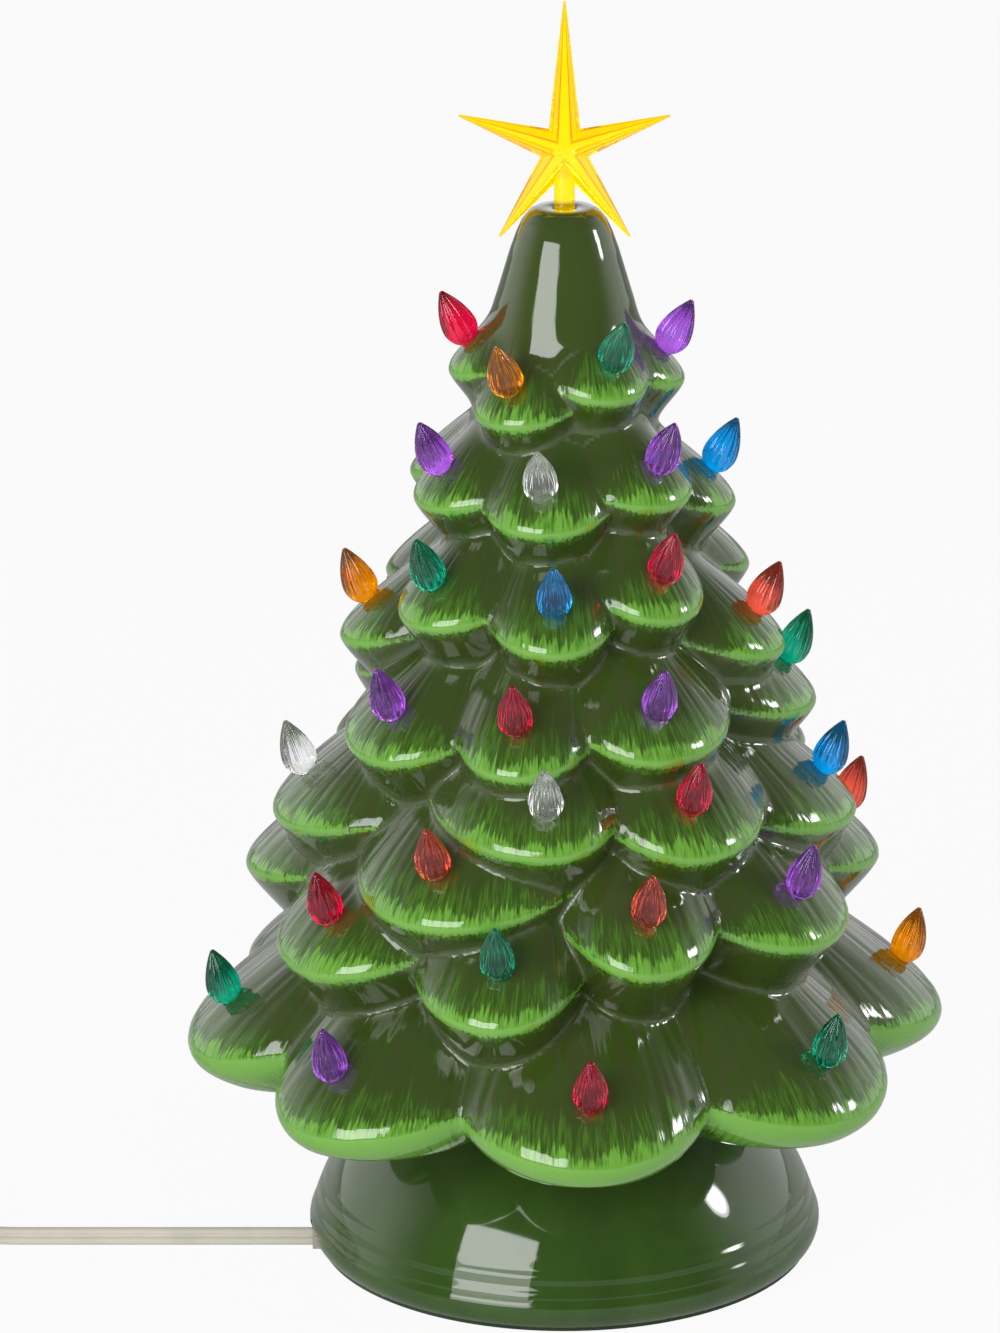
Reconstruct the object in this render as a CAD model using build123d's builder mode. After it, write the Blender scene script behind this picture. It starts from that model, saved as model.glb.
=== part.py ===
from build123d import *
import os
from math import atan2, ceil, cos, degrees, exp, hypot, log, pi, radians, sin, sqrt, tan
from typing import NamedTuple

os.makedirs("parts", exist_ok=True)

# A lighted ceramic tabletop tree: millimetres, origin at the middle of the foot, front towards -Y

# Heights above the table
STAR_TOP = 381.0
STAR_CENTRE = 337.7
TREE_TOP = 320.5
TREE_UNDERSIDE = 61.0
SEAT_HEIGHT = 47.0
FELT_THICK = 1.0

# Branch tips lie on a cone, so the reach of a tip follows from its height
REACH_AT_TABLE = 142.5
REACH_FALL = 0.4

# Rows from the top down: the height of the row, then for each branch its bearing from the front
# in degrees, to the right positive, the height of its tip above the row and its bulb's colour,
# or bare where it has no bulb
ROWS = (
    (267, (
        (-84, 5, "red"), (-30, -4, "orange"), (28, 3, "green"), (86, 2, "purple"),
        (163, -6, "blue"), (197, -6, "clear"),
    )),
    (235, (
        (-60, 2, "purple"), (-9, 0, "clear"), (42, 5, "purple"), (92, -4, "blue"),
        (148, 1, "green"), (195, -2, "orange"), (247, 2, "bare"),
    )),
    (203, (
        (-88, -12, "orange"), (-46, 3, "green"), (-3, 0, "blue"), (33, 7, "red"), (76, -12, "coral"),
        (120, 2, "bare"), (158, -3, "clear"), (196, 3, "green"), (234, -2, "bare"),
    )),
    (170, (
        (-48, -2, "purple"), (-12, 0, "red"), (24, 3, "purple"), (92, 0, "green"),
        (138, -3, "orange"), (182, 2, "blue"), (226, -2, "red"),
    )),
    (142, (
        (-82, -3, "clear"), (-4, 7, "clear"), (29, 4, "red"), (82, -3, "blue"),
        (128, 2, "green"), (174, -3, "purple"), (224, 3, "orange"),
    )),
    (110, (
        (-98, 6, "bare"), (-50, -2, "red"), (-12, -7, "green"), (16, 7, "coral"), (52, 5, "purple"),
        (100, 8, "coral"), (145, 0, "green"), (190, -3, "orange"), (226, 2, "purple"),
    )),
    (70, (
        (-76, 0, "green"), (-40, -3, "purple"), (4, -3, "red"), (47, -2, "green"), (94, 1, "orange"),
        (140, 0, "blue"), (185, -3, "clear"), (228, 0, "red"),
    )),
)
TIER_OF_ROW = ("upper", "upper", "middle", "middle", "lower", "lower", "lower")
COLOURS = ("red", "coral", "orange", "green", "blue", "purple", "clear")

# One branch stands between two rows
ODD_BRANCH = (128, -27, "coral")
ODD_BRANCH_SPREAD = 25.0

# Form of a branch: it swells over its top to a round lip, then turns in under it, and the lip rises
# and draws in towards both sides
SWELL_RISE = 38.0
SWELL_INSET = 45.0
SWELL_POWER = 1.3
UNDERSIDE_SLOPE = 0.95
BOTTOM_UNDERSIDE_SLOPE = 0.3
BOTTOM_ROUND = 0.1
LIP_ROUND = 4.0
SIDE_LIFT_SHARE = 0.06
SIDE_CUT = 0.17
WIDEST_SPREAD = 28.0
BRANCH_RANGE = 1.6
TRUNK_SHARE = 0.66
TRUNK_INSET = 3.0
CREASE_SOFTNESS = 1.8

# Walls of the hollow tree, and how finely its outside and inside are drawn
WALL_REACH = 9.0
OUTER_SIDES = 90
OUTER_STEP = 3.0
INNER_SIDES = 36
INNER_STEP = 7.0
INNER_TOP = 308.0

# The casting is kept as stacked rings, cut in the creases between the rows
RING_CUTS = (TREE_TOP, 251.0, 219.0, 187.0, 157.0, 126.0, 95.0, TREE_UNDERSIDE)
RING_NAMES = (
    "tree_crown", "tree_row_2", "tree_row_3", "tree_row_4", "tree_row_5", "tree_row_6", "tree_skirt",
)

# Cap of the tree, as radius and height, and the socket for the star
CAP_PROFILE = (
    (26, 262), (24, 278), (20.3, 293), (15.8, 308), (13.8, 313.5), (12.2, 316.8), (9.8, 319.4), (6.5, TREE_TOP),
)
STAR_STEM_RADIUS = 3.0
STAR_HOLE_RADIUS = 3.3
STAR_STEM_FOOT = 303.0
STAR_HOLE_DEPTH = 20.0

# Foot ring of the tree, which stands on the seat of the base round its collar
FOOT_RADIUS = 50.0
MOUTH_RADIUS = 40.0
FLOOR_THICK = 5.0
BITE = 1.0

# Star
STAR_ARMS = 5
STAR_ARM = 32.0
STAR_ARM_HALF_WIDTH = 5.2
STAR_ARM_HALF_DEPTH = 4.6
STAR_BAND_SHARE = 0.42
STAR_TIP_SHARE = 0.06

# Ornament bulbs
BULB_HEIGHT = 17.5
BULB_RADIUS = 5.75
BULB_SIDE = (4.5, 11.0)
BULB_TIP_RADIUS = 0.6
PEG_RADIUS = 2.0
PEG_LENGTH = 8.0
PEG_HOLE_RADIUS = 2.2
PEG_HOLE_DEPTH = 15.0
PEG_HOLE_START = 3.0
BULB_RISE = 7.0
BULB_RISE_SHARE = 0.07
BULB_RISE_STEP = 0.5
BULB_GAP = 0.8
BULB_CLEARANCE = 0.8
BULB_RING_STEP = 20
BULB_RINGS = ((BULB_RADIUS, BULB_RADIUS), BULB_SIDE, (BULB_TIP_RADIUS, BULB_HEIGHT))
BULB_LEAN_HIGH = 27.0
BULB_LEAN_LOW = 16.0

# Base: a foot band, a dome and a seat with a collar round the socket
BASE_FOOT_RADIUS = 74.5
BASE_RADIUS = 77.3
BASE_BAND_MIDDLE = 5.5
BASE_BAND_TOP = (76.4, 10.5)
BASE_DOME_POINT = (69.5, 26.5)
BASE_SHOULDER_RADIUS = 52.0
BASE_INNER_FOOT = 66.5
BASE_INNER_POINT = (63.0, 22.0)
BASE_INNER_TOP = 45.0
BASE_TOP_THICK = 5.0
COLLAR_RADIUS = 38.5
COLLAR_BORE = 34.0
COLLAR_HEIGHT = 6.0
FELT_EDGE = 0.2
SOCKET_HOLE_RADIUS = 14.2

# Cord, its notch in the left side of the base and the grommet that lines the notch
CORD_WIDTH = 5.4
CORD_HEIGHT = CORD_WIDTH / 2
CORD_SECTION = pi * (CORD_WIDTH / 2) ** 2
CORD_OFFSET = -10.0
NOTCH_HALF_WIDTH = 4.4
NOTCH_SPRING = 3.6
NOTCH_DEPTH = 20.0
NOTCH_INNER_END = -60.0
GROMMET_WALL = 1.3
GROMMET_FOOT = 0.3
GROMMET_OUTER_END = -76.2
GROMMET_LENGTH = 13.0
GROMMET_GAP = 0.05

# Lamp socket
SOCKET_FOOT = 18.0
SOCKET_RADIUS = 13.0
SOCKET_FLANGE_RADIUS = 17.0
SOCKET_FLANGE_THICK = 2.0
SOCKET_BORE = 7.5
SOCKET_BORE_FOOT = 26.5
LEAD_HOLE_RADIUS = 2.9
WIRE_CHAMBER_RADIUS = 9.0
WIRE_CHAMBER_FOOT = 20.5
WIRE_CHAMBER_TOP = 24.5
SHELL_RADIUS = 7.4
SHELL_BORE = 6.3
SHELL_FOOT = 28.2
SHELL_TOP = 47.0
CONTACT_RADIUS = 3.0
CONTACT_THICK = 1.2
CLIP_WIDTH = 7.0
CLIP_THICK = 0.6
CLIP_FOOT = 31.0
CLIP_SPREAD = 4.0
CLIP_HEAD_GAP = 0.4

# Lamp
LAMP_FOOT = 28.0
LAMP_CAP_FOOT = 30.0
LAMP_CAP_TOP = 45.0
LAMP_CAP_RADIUS = 5.9
LAMP_CAP_WALL = 0.5
INSULATOR_RADII = (2.2, 5.2)
LAMP_NECK_RADIUS = 5.2
LAMP_NECK_FOOT = 39.0
LAMP_NECK_TOP = 50.0
LAMP_RADIUS = 11.0
LAMP_WIDEST = 61.0
LAMP_SHOULDER = (9.3, 72.0)
LAMP_TIP_RADIUS = 1.0
LAMP_TOP = 86.0
LAMP_GLASS_WALL = 0.8
STEM_RADIUS = 2.2
STEM_FOOT = 31.0
STEM_TOP = 52.0
WIRE_RADIUS = 0.35
WIRE_SPREAD = 1.6
WIRE_TOP = 62.0

# Route of the cord from the notch to the in-line switch, on to the coil and from it to the plug
CORNER_SHARE = 0.45
COIL_HEIGHT = 3.5
CORD_START = -70.0
SWITCH_NEAR_END = -186.0
SWITCH_LENGTH = 50.0
PLUG_CORD_HEIGHT = 5.0
RUN_POINTS = (
    (CORD_START, CORD_OFFSET, CORD_HEIGHT),
    (-170.0, CORD_OFFSET, CORD_HEIGHT),
    (-179.0, CORD_OFFSET, COIL_HEIGHT),
    (SWITCH_NEAR_END, CORD_OFFSET, COIL_HEIGHT),
)
LEAD_POINTS = (
    (SWITCH_NEAR_END - SWITCH_LENGTH, CORD_OFFSET, COIL_HEIGHT),
    (-254.0, -10.0, COIL_HEIGHT),
    (-270.6, -3.1, COIL_HEIGHT),
    (-283.4, 9.6, COIL_HEIGHT),
    (-290.2, 26.2, COIL_HEIGHT),
    (-290.2, 44.2, COIL_HEIGHT),
)
INNER_LEAD_POINTS = (
    (CORD_START, CORD_OFFSET, CORD_HEIGHT),
    (-42.0, CORD_OFFSET, CORD_HEIGHT),
    (0.0, 0.0, CORD_HEIGHT),
    (0.0, 0.0, WIRE_CHAMBER_FOOT),
)
INNER_LEAD_RADII = (110.0, 14.0)

# Coil: two layers of turns, spiralling in below and out again above, held by a tie
COIL_RADIUS = 41.3
COIL_PITCH = 5.9
HALF_TURNS_IN = 8
HALF_TURNS_OUT = 7
CLIMB_SLOPE = 0.2
CLIMB_DRAW_IN = 1.6
COIL_CENTRE = (LEAD_POINTS[-1][0] + COIL_RADIUS, LEAD_POINTS[-1][1] + CORD_WIDTH)
COIL_TOP_HEIGHT = COIL_HEIGHT + COIL_PITCH
COIL_INNER_RADIUS = COIL_RADIUS - COIL_PITCH * HALF_TURNS_IN / 2
COIL_END_RADIUS = COIL_INNER_RADIUS + COIL_PITCH * HALF_TURNS_OUT / 2
COIL_END = (COIL_CENTRE[0] - COIL_END_RADIUS, COIL_CENTRE[1] + CORD_WIDTH, COIL_TOP_HEIGHT)
GAP_SAMPLES = 900
TIE_THICK = 0.6
TIE_WIDTH = 4.0
TIE_GAP = 0.2
TAIL_POINTS = (
    COIL_END,
    (COIL_END[0], 70.0, COIL_TOP_HEIGHT),
    (COIL_END[0], 92.0, PLUG_CORD_HEIGHT),
    (COIL_END[0], 104.0, PLUG_CORD_HEIGHT),
)

# Plug
PLUG_LENGTH = 26.0
PLUG_FACE_SIZE = (22.0, 10.0)
PLUG_WAIST_SIZE = (17.0, 8.0)
PLUG_WAIST_SHARE = 0.45
PLUG_TAIL_SIZE = (9.0, 7.6)
PLUG_CORNER = 2.5
BLADE_SPACING = 12.7
BLADE_LENGTH = 16.0
BLADE_ROOT = 6.0
BLADE_HEIGHT = 6.3
BLADE_THICK = 1.5
BLADE_GAP = 0.05

# In-line switch
SWITCH_WIDTH = 17.0
SWITCH_SPLIT = 6.0
SWITCH_HEIGHT = 12.5
SWITCH_CORNER = 5.0
SWITCH_EDGE = 1.5
SWITCH_POCKET = (30.0, 12.6)
SWITCH_FLOOR = 1.6
SWITCH_ROOF = 10.6
SWITCH_SLOT = (21.4, 9.6)
ROCKER_LENGTH = 20.0
ROCKER_WIDTH = 8.6
ROCKER_ENDS = (-1.4, 2.6)
ROCKER_PIVOT_HEIGHT = 9.0
ROCKER_TILT = 7.0
PIN_RADIUS = 1.0
PIN_HOLE_RADIUS = 1.06
PIN_LENGTH = 14.6
PIN_HOLE_LENGTH = 15.2
SCREW_SPACING = 38.0
SCREW_RADIUS = 1.4
SCREW_HOLE_RADIUS = 1.45
SCREW_HEAD_RADIUS = 2.6
SCREW_HEAD_HEIGHT = 1.4
SCREW_RECESS_RADIUS = 2.8
SCREW_RECESS_DEPTH = 1.6
SCREW_LENGTH = 9.0


class Branch(NamedTuple):
    """One branch: where it points, how high its tip is, and how far it spreads to either side."""

    bearing: float
    height: float
    left_spread: float
    right_spread: float
    underside: float
    under_round: float
    tier: str
    colour: str


def all_branches():
    """Every branch of the rows, and the odd one."""
    branches = []
    for tier, (row_height, row) in zip(TIER_OF_ROW, ROWS):
        under = (UNDERSIDE_SLOPE, 0.0)
        if row_height == ROWS[-1][0]:
            under = (BOTTOM_UNDERSIDE_SLOPE, BOTTOM_ROUND)
        for index, (bearing, lift, colour) in enumerate(row):
            left = (bearing - row[index - 1][0]) % 360 / 2
            right = (row[(index + 1) % len(row)][0] - bearing) % 360 / 2
            spreads = min(left, WIDEST_SPREAD), min(right, WIDEST_SPREAD)
            branches.append(Branch(bearing, row_height + lift, *spreads, *under, tier, colour))
    height, bearing, colour = ODD_BRANCH
    spreads = ODD_BRANCH_SPREAD, ODD_BRANCH_SPREAD
    branches.append(Branch(bearing, height, *spreads, UNDERSIDE_SLOPE, 0.0, "lower", colour))
    return branches


BRANCHES = all_branches()


def reach_at(height):
    """Reach of a branch tip at a height."""
    return REACH_AT_TABLE - REACH_FALL * height


def polar(radius, bearing):
    """Point at a radius from the trunk and a bearing from the front."""
    return (radius * sin(radians(bearing)), -radius * cos(radians(bearing)))


def lip_inset(branch, rise):
    """How far a branch draws in from its reach at a rise above its lip."""
    swell = SWELL_INSET * (max(rise, 0) / SWELL_RISE) ** SWELL_POWER
    under = branch.under_round * min(rise, 0) ** 2 - branch.underside * rise
    return (swell + under + sqrt((swell - under) ** 2 + LIP_ROUND**2) - LIP_ROUND) / 2


def branch_radius(branch, bearing, height):
    """Radius of one branch at a bearing and a height, or None beside it."""
    turn = (bearing - branch.bearing + 180) % 360 - 180
    share = turn / (branch.right_spread if turn > 0 else branch.left_spread)
    if abs(share) > BRANCH_RANGE:
        return None
    tip_reach = reach_at(branch.height)
    lip_height = branch.height + SIDE_LIFT_SHARE * tip_reach * share**2
    return tip_reach * (1 - SIDE_CUT * share**2) - lip_inset(branch, height - lip_height)


def cap_radius(height):
    """Radius of the smooth cap, which goes on down inside the top row."""
    for (low_radius, low), (high_radius, high) in zip(CAP_PROFILE, CAP_PROFILE[1:]):
        if height <= high:
            share = max(0, (height - low) / (high - low))
            return low_radius + (high_radius - low_radius) * share
    return CAP_PROFILE[-1][0]


def tree_radius(bearing, height):
    """Radius of the tree: its branches, cap and trunk, run together softly at the creases."""
    radii = [cap_radius(height), TRUNK_SHARE * reach_at(height) - TRUNK_INSET]
    for branch in BRANCHES:
        radius = branch_radius(branch, bearing, height)
        if radius is not None:
            radii.append(radius)
    largest = max(radii)
    return largest + CREASE_SOFTNESS * log(sum(exp((r - largest) / CREASE_SOFTNESS) for r in radii))


def tree_solid(low, high, step, sides, wall):
    """The tree between two heights as one solid, lofted through outlines about a step apart, less a wall."""
    bearings = [360 * side / sides for side in range(sides)]
    count = ceil((high - low) / step)
    with BuildPart() as tree:
        for index in range(count + 1):
            height = low + (high - low) * index / count
            outline = [polar(tree_radius(bearing, height) - wall, bearing) for bearing in bearings]
            with BuildSketch(Plane.XY.offset(height)):
                with BuildLine():
                    Polyline(*outline, close=True)
                make_face()
        loft(ruled=True)
    return tree.part


def seat_at(branch, rise):
    """Plane on the glaze at a rise above a branch's tip, with its Z along the bulb that stands there."""
    first_row, last_row = ROWS[0][0], ROWS[-1][0]
    share = (branch.height - last_row) / (first_row - last_row)
    lean = radians(BULB_LEAN_LOW + (BULB_LEAN_HIGH - BULB_LEAN_LOW) * share)
    height = branch.height + rise
    x, y = polar(tree_radius(branch.bearing, height), branch.bearing)
    lean_x, lean_y = polar(sin(lean), branch.bearing)
    return Plane(origin=(x, y, height), z_dir=(lean_x, lean_y, cos(lean)))


def glaze_gap(seat):
    """Least gap between the glaze and a bulb on a seat, at points on rings of the bulb."""
    gaps = []
    for radius, height in BULB_RINGS:
        for turn in range(0, 360, BULB_RING_STEP):
            point = seat.from_local_coords(Vector(*polar(radius, turn), height + BULB_GAP))
            bearing = degrees(atan2(point.X, -point.Y))
            gaps.append(hypot(point.X, point.Y) - tree_radius(bearing, point.Z))
    return min(gaps)


def bulb_seat(branch):
    """Seat of a branch's bulb, brought down towards the tip until the bulb clears the row above."""
    rise = BULB_RISE + BULB_RISE_SHARE * reach_at(branch.height)
    seat = seat_at(branch, rise)
    while glaze_gap(seat) < BULB_CLEARANCE:
        rise -= BULB_RISE_STEP
        seat = seat_at(branch, rise)
    return seat


# Tree: hollow rings with holes for the pegs of the bulbs, a hole for the star and a foot
lit_branches = [branch for branch in BRANCHES if branch.colour in COLOURS]
bulb_seats = [bulb_seat(branch) for branch in lit_branches]
hollow_foot = TREE_UNDERSIDE + FLOOR_THICK
for name, high, low in zip(RING_NAMES, RING_CUTS, RING_CUTS[1:]):
    hollow_low = max(low - BITE, hollow_foot)
    hollow_high = min(high + BITE, INNER_TOP)
    with BuildPart() as tree_ring:
        add(tree_solid(low, high, OUTER_STEP, OUTER_SIDES, 0))
        if low == TREE_UNDERSIDE:
            with BuildSketch(Plane.XY.offset(SEAT_HEIGHT)):
                Circle(FOOT_RADIUS)
            extrude(amount=TREE_UNDERSIDE - SEAT_HEIGHT + BITE)
        add(tree_solid(hollow_low, hollow_high, INNER_STEP, INNER_SIDES, WALL_REACH), mode=Mode.SUBTRACT)
        if low == TREE_UNDERSIDE:
            with BuildSketch(Plane.XY.offset(SEAT_HEIGHT)):
                Circle(MOUTH_RADIUS)
            extrude(amount=hollow_foot - SEAT_HEIGHT + BITE, mode=Mode.SUBTRACT)
        if high == TREE_TOP:
            with Locations(Plane.XY.offset(TREE_TOP)):
                Hole(STAR_HOLE_RADIUS, STAR_HOLE_DEPTH)
        seats = [seat for seat in bulb_seats if low - PEG_HOLE_DEPTH < seat.origin.Z < high + PEG_HOLE_DEPTH]
        with Locations(*[seat.offset(PEG_HOLE_START) for seat in seats]):
            Hole(PEG_HOLE_RADIUS, PEG_HOLE_DEPTH)
    tree_ring.part.label = name
    export_step(tree_ring.part, f"parts/{name}.step")
    print(name, len(tree_ring.part.solids()), "solid, volume", round(tree_ring.part.volume))

# Ornament bulbs: a round foot, a pointed tip and a peg, one node for each tier and colour
with BuildPart() as bulb:
    foot_height = BULB_RADIUS - sqrt(BULB_RADIUS**2 - PEG_RADIUS**2)
    foot_middle = BULB_RADIUS / sqrt(2)
    with BuildSketch(Plane.XZ):
        with BuildLine():
            Polyline(
                (0, BULB_HEIGHT),
                (0, -PEG_LENGTH),
                (PEG_RADIUS, -PEG_LENGTH),
                (PEG_RADIUS, foot_height),
            )
            ThreePointArc(
                (PEG_RADIUS, foot_height),
                (foot_middle, BULB_RADIUS - foot_middle),
                (BULB_RADIUS, BULB_RADIUS),
            )
            ThreePointArc((BULB_RADIUS, BULB_RADIUS), BULB_SIDE, (BULB_TIP_RADIUS, BULB_HEIGHT))
            Line((BULB_TIP_RADIUS, BULB_HEIGHT), (0, BULB_HEIGHT))
        make_face()
    revolve(axis=Axis.Z)
for tier in sorted(set(TIER_OF_ROW)):
    for colour in COLOURS:
        places = [
            seat.offset(BULB_GAP)
            for seat, branch in zip(bulb_seats, lit_branches)
            if (branch.tier, branch.colour) == (tier, colour)
        ]
        if not places:
            continue
        with BuildPart() as bulbs:
            with Locations(*places):
                add(bulb.part)
        bulbs.part.label = f"bulbs_{tier}_{colour}"
        export_step(bulbs.part, f"parts/bulbs_{tier}_{colour}.step")

# Star: five six-sided arms that taper from one centre, on a round stem
with BuildPart() as star_topper:
    for arm in range(STAR_ARMS):
        slant = radians(360 / STAR_ARMS * arm)
        along = Vector(sin(slant), 0, cos(slant))
        across = Vector(cos(slant), 0, -sin(slant))
        length = STAR_TOP - STAR_CENTRE if arm == 0 else STAR_ARM
        middle = Vector(0, 0, STAR_CENTRE)
        for place, size in ((middle, 1), (middle + along * length, STAR_TIP_SHARE)):
            side = STAR_ARM_HALF_WIDTH * size
            band = side * STAR_BAND_SHARE
            depth = STAR_ARM_HALF_DEPTH * size
            with BuildSketch(Plane(place, x_dir=across, z_dir=along)):
                with BuildLine():
                    Polyline(
                        (-side, 0), (-band, -depth), (band, -depth), (side, 0), (band, depth), (-band, depth),
                        close=True,
                    )
                make_face()
        loft(ruled=True)
    with BuildSketch(Plane.XY.offset(STAR_STEM_FOOT)):
        Circle(STAR_STEM_RADIUS)
    extrude(amount=STAR_CENTRE - STAR_STEM_FOOT)
star_topper.part.label = "star_topper"
export_step(star_topper.part, "parts/star_topper.step")

# Base: revolved, with a socket hole in its top and a notch for the cord in its left side
with BuildPart() as ceramic_base:
    with BuildSketch(Plane.XZ):
        with BuildLine():
            ThreePointArc((BASE_FOOT_RADIUS, FELT_THICK), (BASE_RADIUS, BASE_BAND_MIDDLE), BASE_BAND_TOP)
            ThreePointArc(BASE_BAND_TOP, BASE_DOME_POINT, (BASE_SHOULDER_RADIUS, SEAT_HEIGHT))
            Polyline(
                (BASE_SHOULDER_RADIUS, SEAT_HEIGHT),
                (COLLAR_RADIUS, SEAT_HEIGHT),
                (COLLAR_RADIUS, SEAT_HEIGHT + COLLAR_HEIGHT),
                (COLLAR_BORE, SEAT_HEIGHT + COLLAR_HEIGHT),
                (COLLAR_BORE, SEAT_HEIGHT),
                (SOCKET_HOLE_RADIUS, SEAT_HEIGHT),
                (SOCKET_HOLE_RADIUS, SEAT_HEIGHT - BASE_TOP_THICK),
                (BASE_INNER_TOP, SEAT_HEIGHT - BASE_TOP_THICK),
            )
            ThreePointArc(
                (BASE_INNER_TOP, SEAT_HEIGHT - BASE_TOP_THICK), BASE_INNER_POINT, (BASE_INNER_FOOT, FELT_THICK)
            )
            Line((BASE_INNER_FOOT, FELT_THICK), (BASE_FOOT_RADIUS, FELT_THICK))
        make_face()
    revolve(axis=Axis.Z)
    with BuildSketch(Plane.YZ.offset(NOTCH_INNER_END)):
        with Locations((CORD_OFFSET, NOTCH_SPRING)):
            Circle(NOTCH_HALF_WIDTH)
        with Locations((CORD_OFFSET, NOTCH_SPRING / 2)):
            Rectangle(2 * NOTCH_HALF_WIDTH, NOTCH_SPRING)
    extrude(amount=-NOTCH_DEPTH, mode=Mode.SUBTRACT)
ceramic_base.part.label = "ceramic_base"
export_step(ceramic_base.part, "parts/ceramic_base.step")

# Felt under the foot, left open where the cord comes out
with BuildPart() as felt_ring:
    with BuildSketch():
        Circle(BASE_FOOT_RADIUS - FELT_EDGE)
        Circle(BASE_INNER_FOOT + FELT_EDGE, mode=Mode.SUBTRACT)
        with Locations(((CORD_START + GROMMET_OUTER_END) / 2, CORD_OFFSET)):
            Rectangle(NOTCH_DEPTH, 2 * NOTCH_HALF_WIDTH, mode=Mode.SUBTRACT)
    extrude(amount=FELT_THICK)
felt_ring.part.label = "felt_ring"
export_step(felt_ring.part, "parts/felt_ring.step")

# Rubber grommet: an arch that lines the notch over the cord
with BuildPart() as cord_grommet:
    with BuildSketch(Plane.YZ.offset(GROMMET_OUTER_END)):
        for radius, mode in (
            (NOTCH_HALF_WIDTH - GROMMET_GAP, Mode.ADD),
            (NOTCH_HALF_WIDTH - GROMMET_WALL, Mode.SUBTRACT),
        ):
            with Locations((CORD_OFFSET, NOTCH_SPRING)):
                Circle(radius, mode=mode)
            with Locations((CORD_OFFSET, NOTCH_SPRING / 2)):
                Rectangle(2 * radius, NOTCH_SPRING, mode=mode)
        with Locations((CORD_OFFSET, GROMMET_FOOT - NOTCH_HALF_WIDTH)):
            Rectangle(2 * NOTCH_HALF_WIDTH, 2 * NOTCH_HALF_WIDTH, mode=Mode.SUBTRACT)
    extrude(amount=GROMMET_LENGTH)
cord_grommet.part.label = "cord_grommet"
export_step(cord_grommet.part, "parts/cord_grommet.step")

# Lamp socket: a flanged body that hangs in the base, open above for the lamp
with BuildPart() as lamp_socket:
    with BuildSketch(Plane.XZ):
        with BuildLine():
            Polyline(
                (LEAD_HOLE_RADIUS, SOCKET_FOOT),
                (SOCKET_RADIUS, SOCKET_FOOT),
                (SOCKET_RADIUS, SEAT_HEIGHT),
                (SOCKET_FLANGE_RADIUS, SEAT_HEIGHT),
                (SOCKET_FLANGE_RADIUS, SEAT_HEIGHT + SOCKET_FLANGE_THICK),
                (SOCKET_BORE, SEAT_HEIGHT + SOCKET_FLANGE_THICK),
                (SOCKET_BORE, SOCKET_BORE_FOOT),
                (0, SOCKET_BORE_FOOT),
                (0, WIRE_CHAMBER_TOP),
                (WIRE_CHAMBER_RADIUS, WIRE_CHAMBER_TOP),
                (WIRE_CHAMBER_RADIUS, WIRE_CHAMBER_FOOT),
                (LEAD_HOLE_RADIUS, WIRE_CHAMBER_FOOT),
                close=True,
            )
        make_face()
    revolve(axis=Axis.Z)
lamp_socket.part.label = "lamp_socket"
export_step(lamp_socket.part, "parts/lamp_socket.step")

# Two spring clips on the socket, which catch under the top of the base
with BuildPart() as socket_clips:
    clip_head = SEAT_HEIGHT - BASE_TOP_THICK - CLIP_HEAD_GAP
    for side in (-1, 1):
        with BuildSketch(Plane.YZ.offset(-CLIP_WIDTH / 2)):
            with BuildLine():
                Polyline(
                    (side * (SOCKET_RADIUS + CLIP_HEAD_GAP), CLIP_FOOT),
                    (side * (SOCKET_RADIUS + CLIP_HEAD_GAP + CLIP_THICK), CLIP_FOOT),
                    (side * (SOCKET_RADIUS + CLIP_SPREAD + CLIP_THICK), clip_head),
                    (side * (SOCKET_RADIUS + CLIP_SPREAD), clip_head),
                    close=True,
                )
            make_face()
        extrude(amount=CLIP_WIDTH)
    with BuildSketch(Plane.XY.offset(CLIP_FOOT - CLIP_SPREAD)):
        Circle(SOCKET_RADIUS + CLIP_HEAD_GAP + CLIP_THICK)
        Circle(SOCKET_RADIUS, mode=Mode.SUBTRACT)
    extrude(amount=CLIP_SPREAD)
socket_clips.part.label = "socket_clips"
export_step(socket_clips.part, "parts/socket_clips.step")

# Brass screw shell and centre contact inside the socket
with BuildPart() as screw_shell:
    with BuildSketch(Plane.XY.offset(SHELL_FOOT)):
        Circle(SHELL_RADIUS)
        Circle(SHELL_BORE, mode=Mode.SUBTRACT)
    extrude(amount=SHELL_TOP - SHELL_FOOT)
screw_shell.part.label = "screw_shell"
export_step(screw_shell.part, "parts/screw_shell.step")

with BuildPart() as centre_contact:
    with BuildSketch(Plane.XY.offset(SOCKET_BORE_FOOT)):
        Circle(CONTACT_RADIUS)
    extrude(amount=CONTACT_THICK)
centre_contact.part.label = "centre_contact"
export_step(centre_contact.part, "parts/centre_contact.step")

# Lamp: brass cap, insulator, glass and the filament on its stem
with BuildPart() as lamp_cap:
    with BuildSketch(Plane.XY.offset(LAMP_CAP_FOOT)):
        Circle(LAMP_CAP_RADIUS)
    extrude(amount=LAMP_CAP_TOP - LAMP_CAP_FOOT)
    with BuildSketch(Plane.XY.offset(LAMP_CAP_FOOT + LAMP_CAP_WALL)):
        Circle(LAMP_CAP_RADIUS - LAMP_CAP_WALL)
    extrude(amount=LAMP_CAP_TOP - LAMP_CAP_FOOT, mode=Mode.SUBTRACT)
lamp_cap.part.label = "lamp_cap"
export_step(lamp_cap.part, "parts/lamp_cap.step")

with BuildPart() as lamp_insulator:
    for height, radius in zip((LAMP_FOOT, LAMP_CAP_FOOT), INSULATOR_RADII):
        with BuildSketch(Plane.XY.offset(height)):
            Circle(radius)
    loft()
lamp_insulator.part.label = "lamp_insulator"
export_step(lamp_insulator.part, "parts/lamp_insulator.step")

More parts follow.
